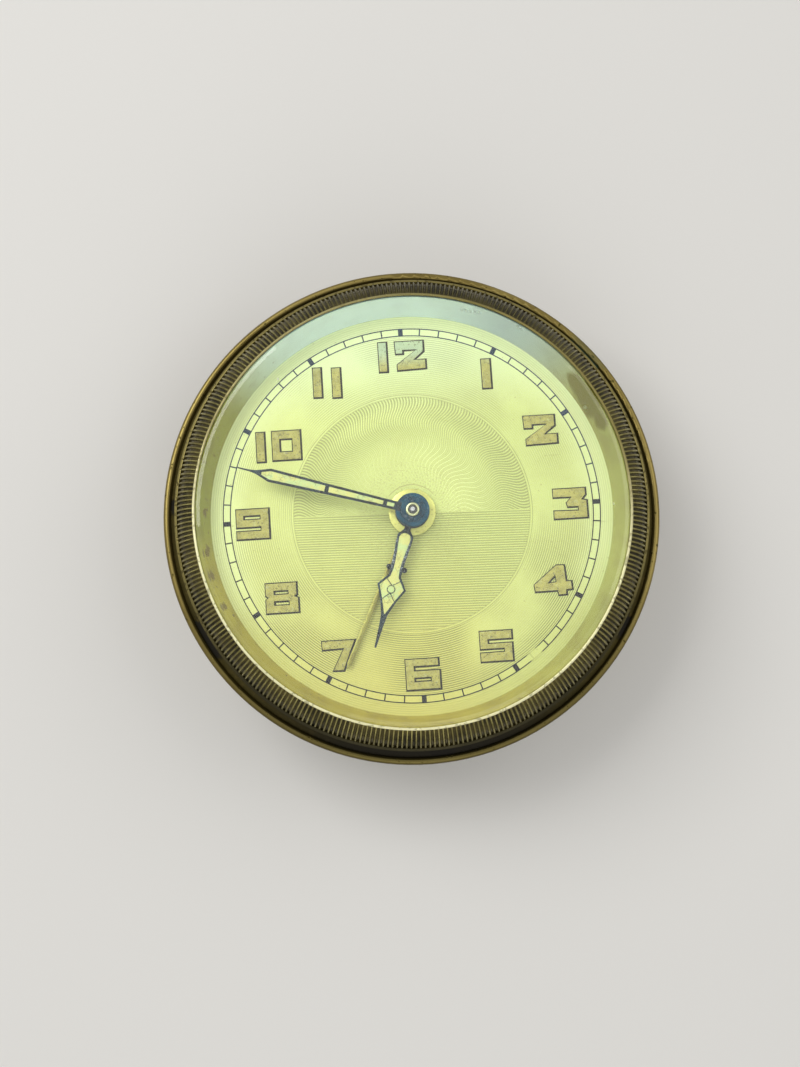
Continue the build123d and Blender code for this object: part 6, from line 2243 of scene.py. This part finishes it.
@dataclass
class FrameDressing:
    """Finishes of the CAD nodes that stay, by their slot in the record."""

    frame: dict
    made: dict[str, Material] = field(default_factory=dict)
    special: ClassVar[dict[str, str]] = {
        "centre_arbor": "pin_steel",
        "time_winding_key": "key_brass",
        "alarm_winding_key": "key_brass",
        "hand_set_knob": "key_brass",
        "alarm_set_knob": "key_brass",
        "back_cover": "cover_brass",
    }
    finishes: ClassVar[dict[str, Finish]] = {
        "case_brass": CaseBrass(),
        "bezel_brass": BezelBrass(),
        "cone_brass": ConeBrass(),
        "dial_gilt": DialGilt(),
        "glass": ClearGlass(),
        "plate_brass": TurnedMetal("plate_brass", paint(214, 186, 112), paint(160, 126, 62), 0.28, 0.3),
        "alarm_brass": AlarmBrass(),
        "pin_steel": PinSteel(),
        "key_brass": TurnedMetal("key_brass", paint(196, 178, 104), paint(124, 104, 52), 0.3, 0.2),
        "cover_brass": TurnedMetal("cover_brass", paint(150, 134, 74), paint(104, 88, 42), 0.34, 0.5, 0.006),
        "steel": TurnedMetal("steel", paint(196, 198, 200), paint(130, 128, 122), 0.24, 0.12, 0.003, 0.25),
        "blue_steel": BluedSteel(),
        "filling": HandPaint(),
    }

    def finish(self, slot: str) -> Material:
        """The finish of a slot, made when it is first asked for.

        Args:
            slot: the material slot, or a name in special.

        Returns:
            The material.
        """
        if slot not in self.made:
            self.made[slot] = self.finishes[slot].make()
        return self.made[slot]

    def build(self) -> None:
        """Dresses every CAD node."""
        for entry in self.frame["record"]["subparts"]:
            name, slot = entry["node"], entry["material_slot"]
            dress(self.frame["nodes"][name], self.finish(self.special.get(name, slot)))
            LOG.info("%s dressed in %s", name, slot)


@dataclass
class Studio:
    """Floor, lamps, sky and camera."""

    azimuth: float = -8.4
    elevation: float = 83.28
    roll: float = 4.78
    distance: float = 183.0
    across: float = 1.70
    up: float = 2.86
    dial_height: float = 20.0
    floor_hole: float = 0.0295
    floor_radius: float = 2.0
    fade_start: float = 0.12
    fade_end: float = 0.6
    sensor: float = 36.0
    lens: float = 36 * 1300 / 1067
    clip_start: float = 0.005
    floor_colour: Paint = paint(226, 224, 219)
    floor_roughness: float = 0.8
    far_colour: Paint = paint(236, 235, 232)
    sky_lit: float = 0.45
    sky_seen: float = 0.55
    lamps: tuple = (
        ((-0.26, 0.20, 0.42), 0.30, 1.15),
        ((0.32, 0.10, 0.36), 0.34, 0.4),
        ((0.02, -0.36, 0.34), 0.34, 0.35),
    )

    def build(self) -> None:
        """Sets up the studio."""
        self.place_camera()
        self.lay_floor()
        self.light()
        bpy.context.scene.view_settings.view_transform = "Standard"

    def place_camera(self) -> None:
        """Stands the camera where the photograph was taken from."""
        az, el, roll = (math.radians(v) for v in (self.azimuth, self.elevation, self.roll))
        back = Vector((math.sin(az) * math.cos(el), -math.cos(az) * math.cos(el), math.sin(el)))
        right = Vector((math.cos(az), math.sin(az), 0.0))
        upward = back.cross(right)
        side = right * math.cos(roll) + upward * math.sin(roll)
        top = upward * math.cos(roll) - right * math.sin(roll)
        spot = Vector((0.0, 0.0, self.dial_height)) + back * self.distance
        spot -= side * self.across + top * self.up
        data = bpy.data.cameras.new("camera")
        data.lens = self.lens
        data.sensor_width = self.sensor
        data.clip_start = self.clip_start
        camera = bpy.data.objects.new("camera", data)
        bpy.context.scene.collection.objects.link(camera)
        turn = Matrix((side, top, back)).transposed().to_4x4()
        camera.matrix_world = Matrix.Translation(spot * METRE) @ turn
        bpy.context.scene.camera = camera

    def lay_floor(self) -> None:
        """A plain pale floor, open under the case so that the back is lit from below."""
        put_down()
        bpy.ops.mesh.primitive_circle_add(vertices=96, radius=self.floor_hole, fill_type="NOTHING")
        floor = bpy.context.object
        floor.name = "floor"
        bpy.ops.object.mode_set(mode="EDIT")
        bpy.ops.mesh.select_all(action="SELECT")
        bpy.ops.mesh.extrude_region_move()
        spread = self.floor_radius / self.floor_hole
        bpy.ops.transform.resize(value=(spread, spread, 1.0))
        bpy.ops.mesh.select_all(action="SELECT")
        bpy.ops.mesh.normals_make_consistent(inside=False)
        bpy.ops.object.mode_set(mode="OBJECT")
        dress(floor, self.floor_finish())

    def floor_finish(self) -> Material:
        """The floor's material: it glows far off, and is clear from below.

        Returns:
            The material.
        """
        material = bpy.data.materials.new("floor")
        material.use_nodes = True
        surface = material.node_tree.nodes["Principled BSDF"]
        surface.inputs["Base Color"].default_value = self.floor_colour
        surface.inputs["Roughness"].default_value = self.floor_roughness
        wire = Wiring(material.node_tree)
        away = wire.node("VectorMath", operation="LENGTH")
        wire.feed(away.inputs[0], wire.node("TexCoord").outputs["Object"])
        far = wire.rise(away.outputs["Value"], self.fade_start, self.fade_end)
        far = wire.times(far, wire.node("LightPath").outputs["Is Camera Ray"])
        glow = wire.node("Emission")
        glow.inputs[0].default_value = self.far_colour
        faded = wire.shader_mix(far, surface.outputs[0], glow.outputs[0])
        below = wire.node("NewGeometry").outputs["Backfacing"]
        mixed = wire.shader_mix(below, faded, wire.node("BsdfTransparent").outputs[0])
        wire.feed(material.node_tree.nodes["Material Output"].inputs["Surface"], mixed)
        return material

    def light(self) -> None:
        """Soft lamps, and a sky that metal and glass see as white."""
        for index, (spot, size, power) in enumerate(self.lamps):
            data = bpy.data.lights.new(f"lamp_{index}", "AREA")
            data.energy = power
            data.size = size
            lamp = bpy.data.objects.new(f"lamp_{index}", data)
            lamp.location = spot
            lamp.rotation_euler = (Vector(spot)).to_track_quat("Z", "Y").to_euler()
            bpy.context.scene.collection.objects.link(lamp)
        world = bpy.data.worlds.new("sky")
        bpy.context.scene.world = world
        world.use_nodes = True
        wire = Wiring(world.node_tree)
        sky = world.node_tree.nodes["Background"]
        sky.inputs["Color"].default_value = (1.0, 1.0, 1.0, 1.0)
        path = wire.node("LightPath")
        seen = wire.most(path.outputs["Is Camera Ray"], path.outputs["Is Transmission Ray"])
        seen = wire.most(seen, path.outputs["Is Glossy Ray"])
        wire.feed(sky.inputs["Strength"], wire.spread(seen, self.sky_seen, self.sky_lit))


def main() -> None:
    """Builds the whole scene in order."""
    logging.basicConfig(level=logging.INFO, format="%(name)s %(message)s")
    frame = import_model()
    Studio().build()
    FrameDressing(frame).build()
    for assembly in (Bezel(), Glass(), DialPrint(), MinuteHand(), HourHand(), AlarmHand()):
        assembly.build()
        LOG.info("%s is done", type(assembly).__name__)


if __name__ == "__main__":
    main()
